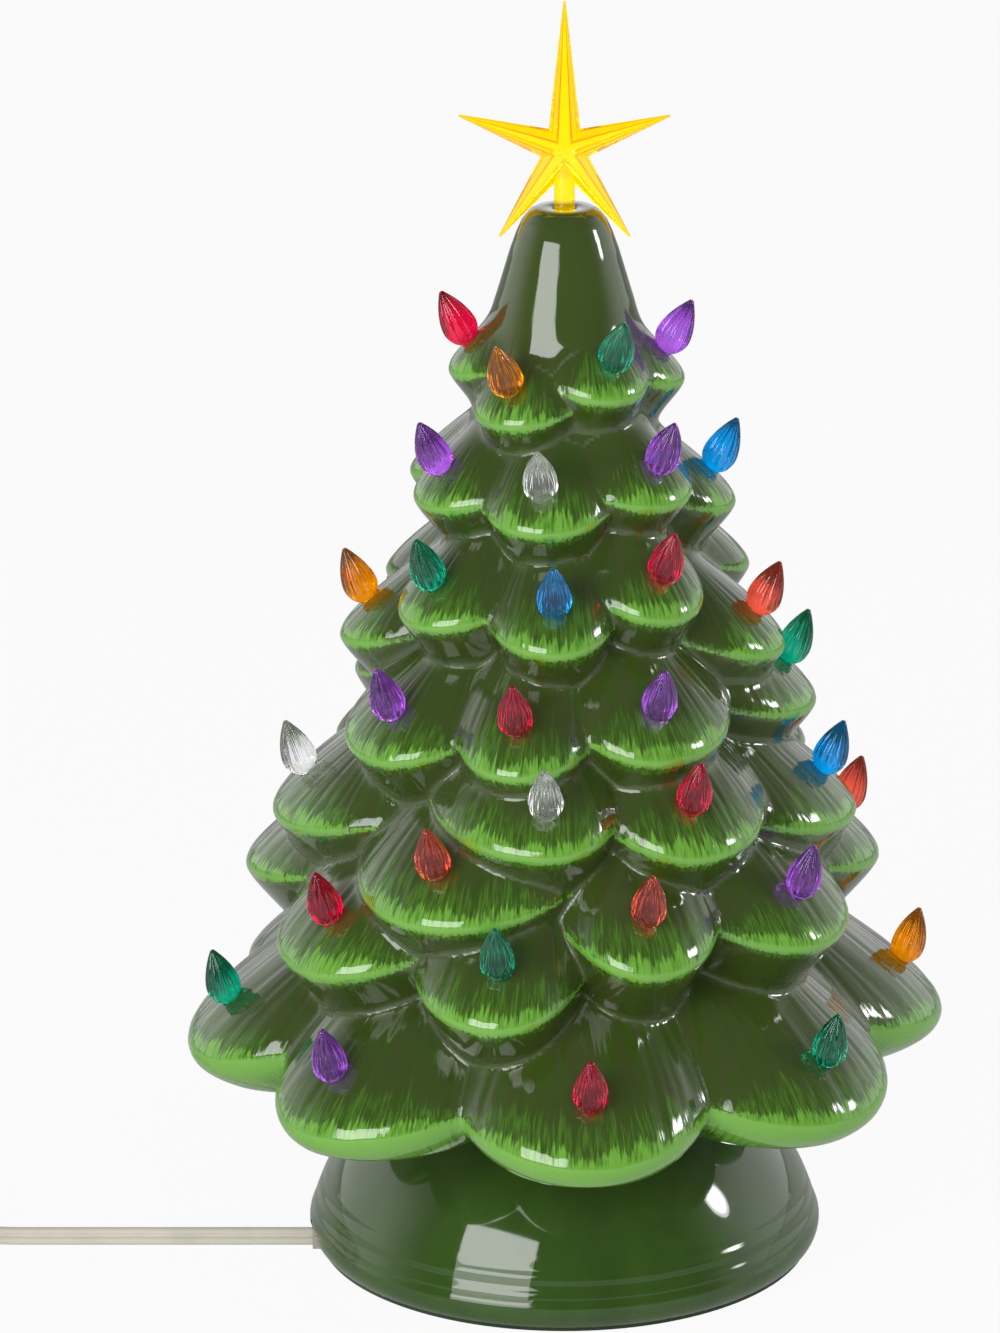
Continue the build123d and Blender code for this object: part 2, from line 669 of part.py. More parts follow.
with BuildPart() as lamp_glass:
    for wall, mode in ((0, Mode.ADD), (LAMP_GLASS_WALL, Mode.SUBTRACT)):
        with BuildSketch(Plane.XZ):
            with BuildLine():
                Polyline(
                    (0, LAMP_TOP - wall),
                    (0, LAMP_NECK_FOOT),
                    (LAMP_NECK_RADIUS - wall, LAMP_NECK_FOOT),
                    (LAMP_NECK_RADIUS - wall, LAMP_NECK_TOP),
                )
                Spline(
                    (LAMP_NECK_RADIUS - wall, LAMP_NECK_TOP),
                    (LAMP_RADIUS - wall, LAMP_WIDEST),
                    (LAMP_SHOULDER[0] - wall, LAMP_SHOULDER[1]),
                    (LAMP_TIP_RADIUS, LAMP_TOP - wall),
                )
                Line((LAMP_TIP_RADIUS, LAMP_TOP - wall), (0, LAMP_TOP - wall))
            make_face()
        revolve(axis=Axis.Z, mode=mode)
lamp_glass.part.label = "lamp_glass"
export_step(lamp_glass.part, "parts/lamp_glass.step")

with BuildPart() as lamp_filament:
    with BuildSketch(Plane.XY.offset(STEM_FOOT)):
        Circle(STEM_RADIUS)
    extrude(amount=STEM_TOP - STEM_FOOT)
    with BuildSketch(Plane.XY.offset(STEM_TOP - BITE)):
        with Locations((-WIRE_SPREAD, 0), (WIRE_SPREAD, 0)):
            Circle(WIRE_RADIUS)
    extrude(amount=WIRE_TOP - STEM_TOP + BITE)
    with BuildSketch(Plane.YZ.offset(-WIRE_SPREAD)):
        with Locations((0, WIRE_TOP - WIRE_RADIUS)):
            Circle(WIRE_RADIUS)
    extrude(amount=2 * WIRE_SPREAD)
lamp_filament.part.label = "lamp_filament"
export_step(lamp_filament.part, "parts/lamp_filament.step")


def corner_radii(points):
    """The largest arc for each corner of a route, from its shorter run and half its turn."""
    places = [Vector(*point) for point in points]
    runs = [after - before for before, after in zip(places, places[1:])]
    radii = []
    for run, next_run in zip(runs, runs[1:]):
        half_angle = radians(run.get_angle(next_run)) / 2
        radii.append(CORNER_SHARE * min(run.length, next_run.length) / tan(half_angle))
    return radii


def cord_tube(name, points, radii):
    """A stretch of cord as a round tube of the cord's width, written under its name."""
    with BuildPart() as tube:
        with BuildLine() as route:
            FilletPolyline(*points, radius=radii)
        with BuildSketch(Plane(route.wire() @ 0, z_dir=route.wire() % 0)):
            Circle(CORD_WIDTH / 2)
        sweep(path=route.wire())
    tube.part.label = name
    export_step(tube.part, f"parts/{name}.step")
    length = route.wire().length
    print(name, "radii", [round(radius) for radius in radii], "length", round(length, 1))
    print(name, "volume", round(tube.part.volume), "section times length", round(CORD_SECTION * length))


cord_tube("inner_lead", INNER_LEAD_POINTS, INNER_LEAD_RADII)
cord_tube("cord_run", RUN_POINTS, corner_radii(RUN_POINTS))
cord_tube("cord_lead", LEAD_POINTS, corner_radii(LEAD_POINTS))
cord_tube("cord_tail", TAIL_POINTS, corner_radii(TAIL_POINTS))


def biarc(start, start_way, end, end_way):
    """Two arcs that run from start to end and leave and arrive along the given ways."""
    chord = end - start
    both = start_way + end_way
    spread = 2 * (1 - start_way.dot(end_way))
    reach = (-chord.dot(both) + sqrt(chord.dot(both) ** 2 + spread * chord.dot(chord))) / spread
    near = start + start_way * reach
    far = end - end_way * reach
    middle = (near + far) / 2
    TangentArc(start, middle, tangent=start_way)
    TangentArc(middle, end, tangent=(far - near).normalized())


def half_turn(west, east, height, northward):
    """Half a turn of the coil between two distances from its middle line."""
    middle_x, middle_y = COIL_CENTRE
    radius = (west + east) / 2
    side = radius if northward else -radius
    ends = [(middle_x - west, middle_y, height), (middle_x + east, middle_y, height)]
    start, end = ends if northward else ends[::-1]
    ThreePointArc(start, (middle_x + (east - west) / 2, middle_y + side, height), end)


# Coil of spare cord: half turns inwards, a climb, then half turns outwards on top
with BuildPart() as cord_coil:
    with BuildLine() as coil_route:
        middle_x, middle_y = COIL_CENTRE
        start = Vector(middle_x - COIL_RADIUS, middle_y, COIL_HEIGHT)
        Line(start - Vector(0, CORD_WIDTH, 0), start)
        for turn in range(HALF_TURNS_IN):
            radii = COIL_RADIUS - COIL_PITCH * turn / 2, COIL_RADIUS - COIL_PITCH * (turn + 1) / 2
            west, east = radii if turn % 2 == 0 else radii[::-1]
            half_turn(west, east, COIL_HEIGHT, turn % 2 == 0)
        low = Vector(middle_x - COIL_INNER_RADIUS, middle_y, COIL_HEIGHT)
        climb_side = middle_y + COIL_INNER_RADIUS - CLIMB_DRAW_IN
        top = Vector(middle_x, climb_side, (COIL_HEIGHT + COIL_TOP_HEIGHT) / 2)
        high = Vector(middle_x + COIL_INNER_RADIUS, middle_y, COIL_TOP_HEIGHT)
        climbing = Vector(1, 0, CLIMB_SLOPE).normalized()
        biarc(low, Vector(0, 1, 0), top, climbing)
        biarc(top, climbing, high, Vector(0, -1, 0))
        for turn in range(HALF_TURNS_OUT):
            radii = COIL_INNER_RADIUS + COIL_PITCH * turn / 2, COIL_INNER_RADIUS + COIL_PITCH * (turn + 1) / 2
            west, east = radii if turn % 2 else radii[::-1]
            half_turn(west, east, COIL_TOP_HEIGHT, turn % 2 == 1)
        end = Vector(middle_x - COIL_END_RADIUS, middle_y, COIL_TOP_HEIGHT)
        Line(end, end + Vector(0, CORD_WIDTH, 0))
    coil_path = coil_route.wire()
    with BuildSketch(Plane(coil_path @ 0, z_dir=(0, 1, 0))):
        Circle(CORD_WIDTH / 2)
    sweep(path=coil_path)
cord_coil.part.label = "cord_coil"
export_step(cord_coil.part, "parts/cord_coil.step")
coil_points = [coil_path @ (index / GAP_SAMPLES) for index in range(GAP_SAMPLES + 1)]
apart = int(GAP_SAMPLES * 2 * COIL_INNER_RADIUS / coil_path.length)
least = min(
    (first - second).length
    for index, first in enumerate(coil_points)
    for second in coil_points[index + apart:]
)
print("cord_coil length", round(coil_path.length), "least gap", round(least - CORD_WIDTH, 2))
coil_volume = round(cord_coil.part.volume)
print("cord_coil volume", coil_volume, "section times length", round(CORD_SECTION * coil_path.length))

# Tie round the bundle of turns, on the side of the coil towards the tree
with BuildPart() as coil_tie:
    tie_inside = COIL_CENTRE[0] + COIL_INNER_RADIUS - CORD_WIDTH / 2 - TIE_GAP
    tie_outside = COIL_CENTRE[0] + COIL_RADIUS - COIL_PITCH / 2 + CORD_WIDTH / 2 + TIE_GAP
    tie_foot = COIL_HEIGHT - CORD_WIDTH / 2 - TIE_GAP
    tie_top = COIL_TOP_HEIGHT + CORD_WIDTH / 2 + TIE_GAP
    with BuildSketch(Plane.XZ.offset(-COIL_CENTRE[1] - TIE_WIDTH / 2)):
        with Locations(((tie_inside + tie_outside) / 2, (tie_foot + tie_top) / 2)):
            Rectangle(tie_outside - tie_inside + 2 * TIE_THICK, tie_top - tie_foot + 2 * TIE_THICK)
            Rectangle(tie_outside - tie_inside, tie_top - tie_foot, mode=Mode.SUBTRACT)
    extrude(amount=TIE_WIDTH)
coil_tie.part.label = "coil_tie"
export_step(coil_tie.part, "parts/coil_tie.step")

# Plug: a body that widens from the cord to its face, and two blades
plug_start = Vector(*TAIL_POINTS[-1])
with BuildPart() as plug_body:
    for share, size in ((0, PLUG_TAIL_SIZE), (PLUG_WAIST_SHARE, PLUG_WAIST_SIZE), (1, PLUG_FACE_SIZE)):
        place = plug_start + Vector(0, share * PLUG_LENGTH, 0)
        with BuildSketch(Plane(place, x_dir=(1, 0, 0), z_dir=(0, 1, 0))):
            RectangleRounded(*size, PLUG_CORNER)
    loft()
    face = plug_start + Vector(0, PLUG_LENGTH, 0)
    with BuildSketch(Plane(face, x_dir=(1, 0, 0), z_dir=(0, 1, 0))):
        with GridLocations(BLADE_SPACING, 0, 2, 1):
            Rectangle(BLADE_THICK + 2 * BLADE_GAP, BLADE_HEIGHT + 2 * BLADE_GAP)
    extrude(amount=-BLADE_ROOT, mode=Mode.SUBTRACT)
plug_body.part.label = "plug_body"
export_step(plug_body.part, "parts/plug_body.step")

with BuildPart() as plug_blades:
    root = face - Vector(0, BLADE_ROOT, 0)
    with BuildSketch(Plane(root, x_dir=(1, 0, 0), z_dir=(0, 1, 0))):
        with GridLocations(BLADE_SPACING, 0, 2, 1):
            Rectangle(BLADE_THICK, BLADE_HEIGHT)
    extrude(amount=BLADE_ROOT + BLADE_LENGTH)
plug_blades.part.label = "plug_blades"
export_step(plug_blades.part, "parts/plug_blades.step")

# In-line switch: two halves of a case, held by screws from below, and a rocker on a pin
switch_x = SWITCH_NEAR_END - SWITCH_LENGTH / 2
switch_plane = Plane((switch_x, CORD_OFFSET, 0))
with BuildPart() as switch_lower:
    with BuildSketch(switch_plane):
        RectangleRounded(SWITCH_LENGTH, SWITCH_WIDTH, SWITCH_CORNER)
    extrude(amount=SWITCH_SPLIT)
    with BuildSketch(switch_plane.offset(SWITCH_FLOOR)):
        Rectangle(*SWITCH_POCKET)
    extrude(amount=SWITCH_SPLIT, mode=Mode.SUBTRACT)
    with BuildSketch(switch_plane):
        with GridLocations(SCREW_SPACING, 0, 2, 1):
            Circle(SCREW_RECESS_RADIUS)
    extrude(amount=SCREW_RECESS_DEPTH, mode=Mode.SUBTRACT)
    with BuildSketch(switch_plane):
        with GridLocations(SCREW_SPACING, 0, 2, 1):
            Circle(SCREW_HOLE_RADIUS)
    extrude(amount=SWITCH_SPLIT, mode=Mode.SUBTRACT)
switch_lower.part.label = "switch_lower"
export_step(switch_lower.part, "parts/switch_lower.step")

with BuildPart() as switch_upper:
    with BuildSketch(switch_plane.offset(SWITCH_SPLIT)):
        RectangleRounded(SWITCH_LENGTH, SWITCH_WIDTH, SWITCH_CORNER)
    extrude(amount=SWITCH_HEIGHT - SWITCH_SPLIT)
    fillet(switch_upper.faces().sort_by(Axis.Z)[-1].edges(), SWITCH_EDGE)
    with BuildSketch(switch_plane.offset(SWITCH_SPLIT)):
        Rectangle(*SWITCH_POCKET)
    extrude(amount=SWITCH_ROOF - SWITCH_SPLIT, mode=Mode.SUBTRACT)
    with BuildSketch(switch_plane.offset(SWITCH_SPLIT)):
        Rectangle(*SWITCH_SLOT)
    extrude(amount=SWITCH_HEIGHT, mode=Mode.SUBTRACT)
    with BuildSketch(switch_plane.offset(SWITCH_SPLIT)):
        with GridLocations(SCREW_SPACING, 0, 2, 1):
            Circle(SCREW_HOLE_RADIUS)
    extrude(amount=SCREW_RECESS_DEPTH + SCREW_LENGTH - SWITCH_SPLIT, mode=Mode.SUBTRACT)
    with BuildSketch(Plane.XZ.offset(-CORD_OFFSET - PIN_HOLE_LENGTH / 2)):
        with Locations((switch_x, ROCKER_PIVOT_HEIGHT)):
            Circle(PIN_HOLE_RADIUS)
    extrude(amount=PIN_HOLE_LENGTH, mode=Mode.SUBTRACT)
switch_upper.part.label = "switch_upper"
export_step(switch_upper.part, "parts/switch_upper.step")

with BuildPart() as switch_rocker:
    tilt = radians(ROCKER_TILT)
    pivot = (switch_x, CORD_OFFSET, ROCKER_PIVOT_HEIGHT)
    rocker_plane = Plane(pivot, x_dir=(cos(tilt), 0, sin(tilt)), z_dir=(0, -1, 0))
    with BuildSketch(rocker_plane.offset(-ROCKER_WIDTH / 2)):
        with BuildLine():
            low, high = ROCKER_ENDS
            half = ROCKER_LENGTH / 2
            Polyline((-half, high), (-half, low), (half, low), (half, high))
            ThreePointArc((half, high), (0, low + high), (-half, high))
        make_face()
    extrude(amount=ROCKER_WIDTH)
    with BuildSketch(rocker_plane.offset(-PIN_LENGTH / 2)):
        Circle(PIN_RADIUS)
    extrude(amount=PIN_LENGTH)
switch_rocker.part.label = "switch_rocker"
export_step(switch_rocker.part, "parts/switch_rocker.step")

with BuildPart() as switch_screws:
    head_foot = SCREW_RECESS_DEPTH - SCREW_HEAD_HEIGHT
    for radius, length in ((SCREW_HEAD_RADIUS, SCREW_HEAD_HEIGHT), (SCREW_RADIUS, SCREW_LENGTH)):
        with BuildSketch(switch_plane.offset(head_foot)):
            with GridLocations(SCREW_SPACING, 0, 2, 1):
                Circle(radius)
        extrude(amount=length)
switch_screws.part.label = "switch_screws"
export_step(switch_screws.part, "parts/switch_screws.step")
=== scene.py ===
from math import cos, pi, radians, sin
from typing import NamedTuple

import bpy
import numpy as np
from bpy.props import FloatProperty, FloatVectorProperty, IntProperty, PointerProperty
from mathutils import Matrix, Vector


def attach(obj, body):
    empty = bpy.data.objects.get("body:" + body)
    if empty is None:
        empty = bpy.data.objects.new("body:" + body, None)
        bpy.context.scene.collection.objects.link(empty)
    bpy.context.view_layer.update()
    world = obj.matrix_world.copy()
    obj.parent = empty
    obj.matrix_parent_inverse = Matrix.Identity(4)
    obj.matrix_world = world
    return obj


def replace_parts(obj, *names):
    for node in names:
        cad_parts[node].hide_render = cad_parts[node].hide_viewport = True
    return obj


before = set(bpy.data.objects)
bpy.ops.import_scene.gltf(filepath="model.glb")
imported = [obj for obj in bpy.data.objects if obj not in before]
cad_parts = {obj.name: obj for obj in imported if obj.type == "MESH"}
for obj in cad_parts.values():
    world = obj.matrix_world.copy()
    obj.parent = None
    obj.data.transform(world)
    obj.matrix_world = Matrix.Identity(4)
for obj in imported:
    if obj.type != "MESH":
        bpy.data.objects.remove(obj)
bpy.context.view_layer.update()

bl_info = {
    "name": "Ceramic christmas tree",
    "version": (1, 0, 0),
    "blender": (4, 5, 0),
    "location": "3D View > Sidebar > Ceramic tree",
    "description": "Glazed table-top tree with bulbs, star, base and cord, dressed over its packed frame",
    "category": "Object",
}

# A millimetre, in metres
MM = 0.001

# Display colours run from 0 to 255 on a power curve
DISPLAY_WHITE = 255
DISPLAY_GAMMA = 2.2


def linear(red, green, blue):
    """Linear colour of a display colour given from 0 to 255."""
    return tuple((part / DISPLAY_WHITE) ** DISPLAY_GAMMA for part in (red, green, blue))


# Branches

# Rows from the top down, in millimetres and degrees: the height of the row, then for each branch
# its bearing from the front, to the right positive, its lift above the row and its bulb's colour,
# or bare where it has no bulb
ROWS = (
    (267, (
        (-84, 5, "red"), (-30, -4, "orange"), (28, 3, "green"), (86, 2, "purple"),
        (163, -6, "blue"), (197, -6, "clear"),
    )),
    (235, (
        (-60, 2, "purple"), (-9, 0, "clear"), (42, 5, "purple"), (92, -4, "blue"),
        (148, 1, "green"), (195, -2, "orange"), (247, 2, "bare"),
    )),
    (203, (
        (-88, -12, "orange"), (-46, 3, "green"), (-3, 0, "blue"), (33, 7, "red"), (76, -12, "coral"),
        (120, 2, "bare"), (158, -3, "clear"), (196, 3, "green"), (234, -2, "bare"),
    )),
    (170, (
        (-48, -2, "purple"), (-12, 0, "red"), (24, 3, "purple"), (92, 0, "green"),
        (138, -3, "orange"), (182, 2, "blue"), (226, -2, "red"),
    )),
    (142, (
        (-82, -3, "clear"), (-4, 7, "clear"), (29, 4, "red"), (82, -3, "blue"),
        (128, 2, "green"), (174, -3, "purple"), (224, 3, "orange"),
    )),
    (110, (
        (-98, 6, "bare"), (-50, -2, "red"), (-12, -7, "green"), (16, 7, "coral"), (52, 5, "purple"),
        (100, 8, "coral"), (145, 0, "green"), (190, -3, "orange"), (226, 2, "purple"),
    )),
    (70, (
        (-76, 0, "green"), (-40, -3, "purple"), (4, -3, "red"), (47, -2, "green"), (94, 1, "orange"),
        (140, 0, "blue"), (185, -3, "clear"), (228, 0, "red"),
    )),
)
TIER_OF_ROW = ("upper", "upper", "middle", "middle", "lower", "lower", "lower")
COLOURS = ("red", "coral", "orange", "green", "blue", "purple", "clear")

# An odd branch between two rows: its height, bearing and colour, and its spread to either side
ODD_BRANCH = (128, -27, "coral")
ODD_BRANCH_SPREAD = 25.0

# Form of a branch, in millimetres and degrees: it swells over its top to a round lip and turns
# in under it
REACH_AT_TABLE = 142.5
REACH_FALL = 0.4
SWELL_RISE = 38.0
SWELL_INSET = 45.0
SWELL_POWER = 1.3
UNDERSIDE_SLOPE = 0.95
BOTTOM_UNDERSIDE_SLOPE = 0.3
BOTTOM_ROUND = 0.1
LIP_ROUND = 4.0
SIDE_LIFT_SHARE = 0.06
SIDE_CUT = 0.17
WIDEST_SPREAD = 28.0
BRANCH_RANGE = 1.6
TRUNK_SHARE = 0.66
TRUNK_INSET = 3.0
CREASE_SOFTNESS = 1.8

# Cap of the crown, in millimetres: the radius and height of each point of its outline
TREE_TOP = 320.5
CAP_PROFILE = (
    (26, 262), (24, 278), (20.3, 293), (15.8, 308),
    (13.8, 313.5), (12.2, 316.8), (9.8, 319.4), (6.5, TREE_TOP),
)
CAP_SHOULDER = 314.0
CAP_RINGS = 12

# Ridges that fan out over the upper side of a branch, as shares of its reach; they rise from
# a start to their full depth in millimetres from the lip
FAN_ROOT_SHARE = 0.3
RIDGE_WIDTH_SHARE = 0.052
RIDGE_DEPTH_SHARE = 0.0045
RIDGE_START = -3.0
RIDGE_FULL = 10.0
RIDGE_ROOT_SHARES = (0.3, 0.56)

# How the ridges wander, crowd and change in depth, each with a shift from branch to branch
WANDER_SHARE = 0.12
WANDER_LONGEST = 60
WANDER_RATE = 0.11
WANDER_SHIFT = 2.3
CROWD_SHARE = 0.3
CROWD_RATE = 1.7
CROWD_SHIFT = 4.1
RIDGE_SHIFT = 0.53
RIDGE_MEAN = 0.3
RIDGE_CHANGE = 0.2
RIDGE_CHANGE_RATE = 2.4

# How fast the painted edge ends below the lip against above it, and how far it fades on the sides
PAINT_UNDER = 4.0
BOTTOM_PAINT_UNDER = 0.15
SIDE_PAINT_FADE = 0.8
SIDE_PAINT_SHARES = (0.45, 1.05)

# Distance from the painted edge that no stroke reaches
UNPAINTED = 99.0

# Brush strokes, whose noises run over millimetres and shift from branch to branch
STROKE_STRETCH = 0.10
STROKE_SHIFT = 7.0
TUFT_STRETCH = (0.16, 0.05)
TUFT_SHIFT = 3.0
HAIR_SHIFT = 5.0
HAIR_WEIGHT = 1.6
TUFT_WEIGHT = 1.1
LENGTH_DROP = 0.65
MIDDLE_LENGTH = 1.6
MIDDLE_SPREAD = 22.0
MIDDLE_DROP = 0.3
MIDDLE_STRENGTH = 0.85
MIDDLE_EDGE = 3.5
LIGHT_EDGE = 0.8
FINE_RIPPLE = 0.25
BROAD_RIPPLE = 0.75

# Gloss of the glazes
GLAZE_IOR = 1.55
GLAZE_ROUGHNESS = 0.05
COAT_ROUGHNESS = 0.03

# Base's glaze, by the metre: streaks that run down it, and turning lines near its foot
STREAKS_ACROSS = 60.0
STREAKS_DOWN = 9.0
STREAK_WEIGHT = 0.6
POOL_WEIGHT = 0.4
BASE_SWELL = 0.4
TURNING_START = (0.007, 0.011)
TURNING_END = (0.017, 0.023)
TURNING_PITCH = 0.0052
TURNING_WAVER = 0.0006
TURNING_DEPTH = 0.35

# Rubbed streaks of the metals, and fibres of the felt
RUB_ACROSS = 250.0
RUB_UP = 2500.0
FIBRE_WEIGHT = 0.6
MATTING_WEIGHT = 0.4

# Tree's shell, in millimetres, which the frame has as stacked rings
RING_NODES = (
    "tree_crown", "tree_row_2", "tree_row_3", "tree_row_4", "tree_row_5", "tree_row_6", "tree_skirt",
)
TREE_UNDERSIDE = 61.0
SEAT_HEIGHT = 47.0
FOOT_RADIUS = 50.0
MOUTH_RADIUS = 40.0
FLOOR_THICK = 5.0
WALL_REACH = 9.0
INNER_TOP = 308.0
INNER_RINGS = 36
STAR_HOLE_RADIUS = 3.3
STAR_HOLE_FOOT = 300.5
EDGE_ROUND = 0.7
PINCH_RADIUS = 0.01
TOP_RINGS = (
    (PINCH_RADIUS, STAR_HOLE_FOOT),
    (STAR_HOLE_RADIUS, STAR_HOLE_FOOT),
    (STAR_HOLE_RADIUS, TREE_TOP - EDGE_ROUND),
    (STAR_HOLE_RADIUS + EDGE_ROUND, TREE_TOP),
)
FOOT_RINGS = (
    (FOOT_RADIUS + EDGE_ROUND, TREE_UNDERSIDE),
    (FOOT_RADIUS, TREE_UNDERSIDE - EDGE_ROUND),
    (FOOT_RADIUS, SEAT_HEIGHT + EDGE_ROUND),
    (FOOT_RADIUS - EDGE_ROUND, SEAT_HEIGHT),
    (MOUTH_RADIUS + EDGE_ROUND, SEAT_HEIGHT),
    (MOUTH_RADIUS, SEAT_HEIGHT + EDGE_ROUND),
    (MOUTH_RADIUS, TREE_UNDERSIDE + FLOOR_THICK - EDGE_ROUND),
    (MOUTH_RADIUS + EDGE_ROUND, TREE_UNDERSIDE + FLOOR_THICK),
)
INNER_END = ((PINCH_RADIUS, INNER_TOP),)
GLAZED_FOOT_RINGS = 2
SHELL_SHARP = radians(60)

# Star, in millimetres
STAR_TOP = 381.0
STAR_CENTRE = 337.7
STAR_ARMS = 5
STAR_ARM = 32.0
STAR_ARM_HALF_WIDTH = 5.2

# Paint of the star: shares across and along an arm, strengths, and its stem in metres; the slanted sides of
# the arms and lines along their edges get painted shade, and the star gets a painted glow
STAR_BAND_SHARE = 0.42
STAR_SHADED_SLANT_SHARES = (STAR_BAND_SHARE - 0.08, STAR_BAND_SHARE + 0.1)
STAR_EDGE_SHADE_SHARES = (0.02, 0.12)
STAR_TIP_SPARE = 1.02
STAR_TOP_TURN = (0.45, 0.5)
STAR_SLANT_SHADE_TINT = (1.0, 0.74, 0.6)
STAR_SLANT_SHADE_STRENGTH = 0.8
STAR_SWIRL_STRENGTH = 0.2
STAR_EDGE_SHADE_STRENGTH = 0.8
STAR_PAINTED_GLOW = 0.18
STEM_EDGE = (0.0026, 0.0031)
STEM_TOP = (-0.009, -0.007)

# Bulbs, in millimetres and degrees
BULB_HEIGHT = 17.5
BULB_RADIUS = 5.75
BULB_SIDE = (4.5, 11.0)
BULB_TIP_RADIUS = 0.6
BULB_RINGS = ((BULB_RADIUS, BULB_RADIUS), BULB_SIDE, (BULB_TIP_RADIUS, BULB_HEIGHT))
PEG_RADIUS = 2.0
PEG_LENGTH = 8.0
BULB_RISE = 7.0
BULB_RISE_SHARE = 0.07
BULB_RISE_STEP = 0.5
BULB_GAP = 0.8
BULB_CLEARANCE = 0.8
BULB_SUNK = 1.5
BULB_DRAWN_RADIUS = 5.2
BULB_RING_STEP = 20
BULB_LEAN_HIGH = 27.0
BULB_LEAN_LOW = 16.0
BULB_UPPER_RINGS = 14
BULB_LOWER_RINGS = 8
BULB_FOOT = 0.4
BULB_TAPER = 1.75
BULB_POINT = 0.15
BULB_DEEPER = 0.6
PEG_TOP = 0.2
FLUTE_POINTS = 4
FLUTE_START = (0.8, 5.0)
FLUTE_END = (0.92, 1.0)
FLUTE_POWER = 0.8

# Cord, in millimetres: its route over the table, through the switch, into the coil and to the plug
CORD_WIDTH = 5.4
CORD_HEIGHT = 2.7
CORD_OFFSET = -10.0
GROOVE_ANGLE = 25
LEAD_STEPS = 11
CORD_SHARP = radians(50)
STEEP = 0.9
ROUTE_ORDER = 3
ROUTE_STEPS = 6
SPAN_WEIGHT = 0.75
COIL_HEIGHT = 3.5
RUN_POINTS = (
    (-70.0, CORD_OFFSET, CORD_HEIGHT),
    (-160.0, CORD_OFFSET, CORD_HEIGHT),
    (-170.0, CORD_OFFSET, CORD_HEIGHT),
    (-179.0, CORD_OFFSET, COIL_HEIGHT),
    (-186.0, CORD_OFFSET, COIL_HEIGHT),
)
LEAD_POINTS = (
    (-236.0, CORD_OFFSET, COIL_HEIGHT),
    (-254.0, CORD_OFFSET, COIL_HEIGHT),
    (-270.6, -3.1, COIL_HEIGHT),
    (-283.4, 9.6, COIL_HEIGHT),
    (-290.2, 26.2, COIL_HEIGHT),
)
COIL_START = (-290.2, 44.2)
COIL_RADIUS = 41.3
COIL_PITCH = 5.9
HALF_TURNS_IN = 8
HALF_TURNS_OUT = 7
CLIMB_DRAW_IN = 1.6
COIL_POINTS = 9
INNER_LEAD_POINTS = (
    (-70.0, CORD_OFFSET, CORD_HEIGHT),
    (-42.0, CORD_OFFSET, CORD_HEIGHT),
    (0.0, 0.0, CORD_HEIGHT),
    (0.0, 0.0, 20.5),
)
TAIL_TURNS = ((70.0, 9.4), (92.0, 5.0), (104.0, 5.0))

# Lamps, in metres: a wide box to the left, a soft-edged one to the right, and a fill in front
LAMP_AIM = (0, 0, 0.15)
KEY_PLACE = (-0.78, -1.22, 0.62)
KEY_SIZE = (0.95, 0.8)
KEY_RADIANCE = 5.0
SIDE_PLACE = (1.45, -0.08, 0.80)
SIDE_WIDTHS = (0.08, 0.13, 0.18, 0.24, 0.31)
SIDE_SPACING = 0.012
SIDE_TALLNESS = 1.5
SIDE_RADIANCE = 5.0
FILL_PLACE = (0.35, -1.7, 1.2)
FILL_SIZE = (0.9, 0.9)
FILL_RADIANCE = 2.4

# Studio: how far it is white to the sides and the back, and how bright its walls are
WALL_START = (-0.5, 0.25)
WALL_TOP = (0.3, 0.85)
WALL_LEVEL = 0.82
ROOM_LEVEL = 0.1
FLOOR_WHITENESS = 0.93

# Camera: its sensor in millimetres, and how far it sees in metres
SENSOR_WIDTH = 36
VIEW_END = 100

# Colours of the fittings, and the pitch of the lamp's thread in metres
FELT_GREEN = linear(40, 58, 38)
GROMMET_GREY = linear(200, 194, 182)
SPRING_GREY = linear(186, 188, 190)
SCREW_GREY = linear(176, 178, 182)
PHENOLIC_BROWN = linear(48, 36, 30)
ROCKER_BROWN = linear(92, 70, 52)
TIE_BLACK = linear(56, 56, 58)
LAMP_CLEAR = (0.97, 0.97, 0.95, 1)
LAMP_THREAD = 0.0026
WHITE = (1, 1, 1, 1)


class Branch(NamedTuple):
    """One branch: where it points, how high its tip is, and how far it spreads to either side."""

    bearing: float
    height: float
    left_spread: float
    right_spread: float
    underside: float
    under_round: float
    paint_under: float
    tier: str
    colour: str


def all_branches():
    """Every branch of the rows, and the odd one that stands between two rows."""
    branches = []
    for tier, (row_height, row) in zip(TIER_OF_ROW, ROWS):
        under = (UNDERSIDE_SLOPE, 0.0, PAINT_UNDER)
        if row_height == ROWS[-1][0]:
            under = (BOTTOM_UNDERSIDE_SLOPE, BOTTOM_ROUND, BOTTOM_PAINT_UNDER)
        for index, (bearing, lift, colour) in enumerate(row):
            left = (bearing - row[index - 1][0]) % 360 / 2
            right = (row[(index + 1) % len(row)][0] - bearing) % 360 / 2
            spreads = min(left, WIDEST_SPREAD), min(right, WIDEST_SPREAD)
            branches.append(Branch(bearing, row_height + lift, *spreads, *under, tier, colour))
    height, bearing, colour = ODD_BRANCH
    spreads = ODD_BRANCH_SPREAD, ODD_BRANCH_SPREAD
    under = (UNDERSIDE_SLOPE, 0.0, PAINT_UNDER)
    branches.append(Branch(bearing, height, *spreads, *under, "lower", colour))
    return branches


BRANCHES = all_branches()


def reach_at(height):
    """Reach of a branch tip at a height."""
    return REACH_AT_TABLE - REACH_FALL * height


def smooth_step(low, high, value):
    """Share from 0 at low to 1 at high, eased at both ends."""
    share = np.clip((value - low) / (high - low), 0, 1)
    return share * share * (3 - 2 * share)


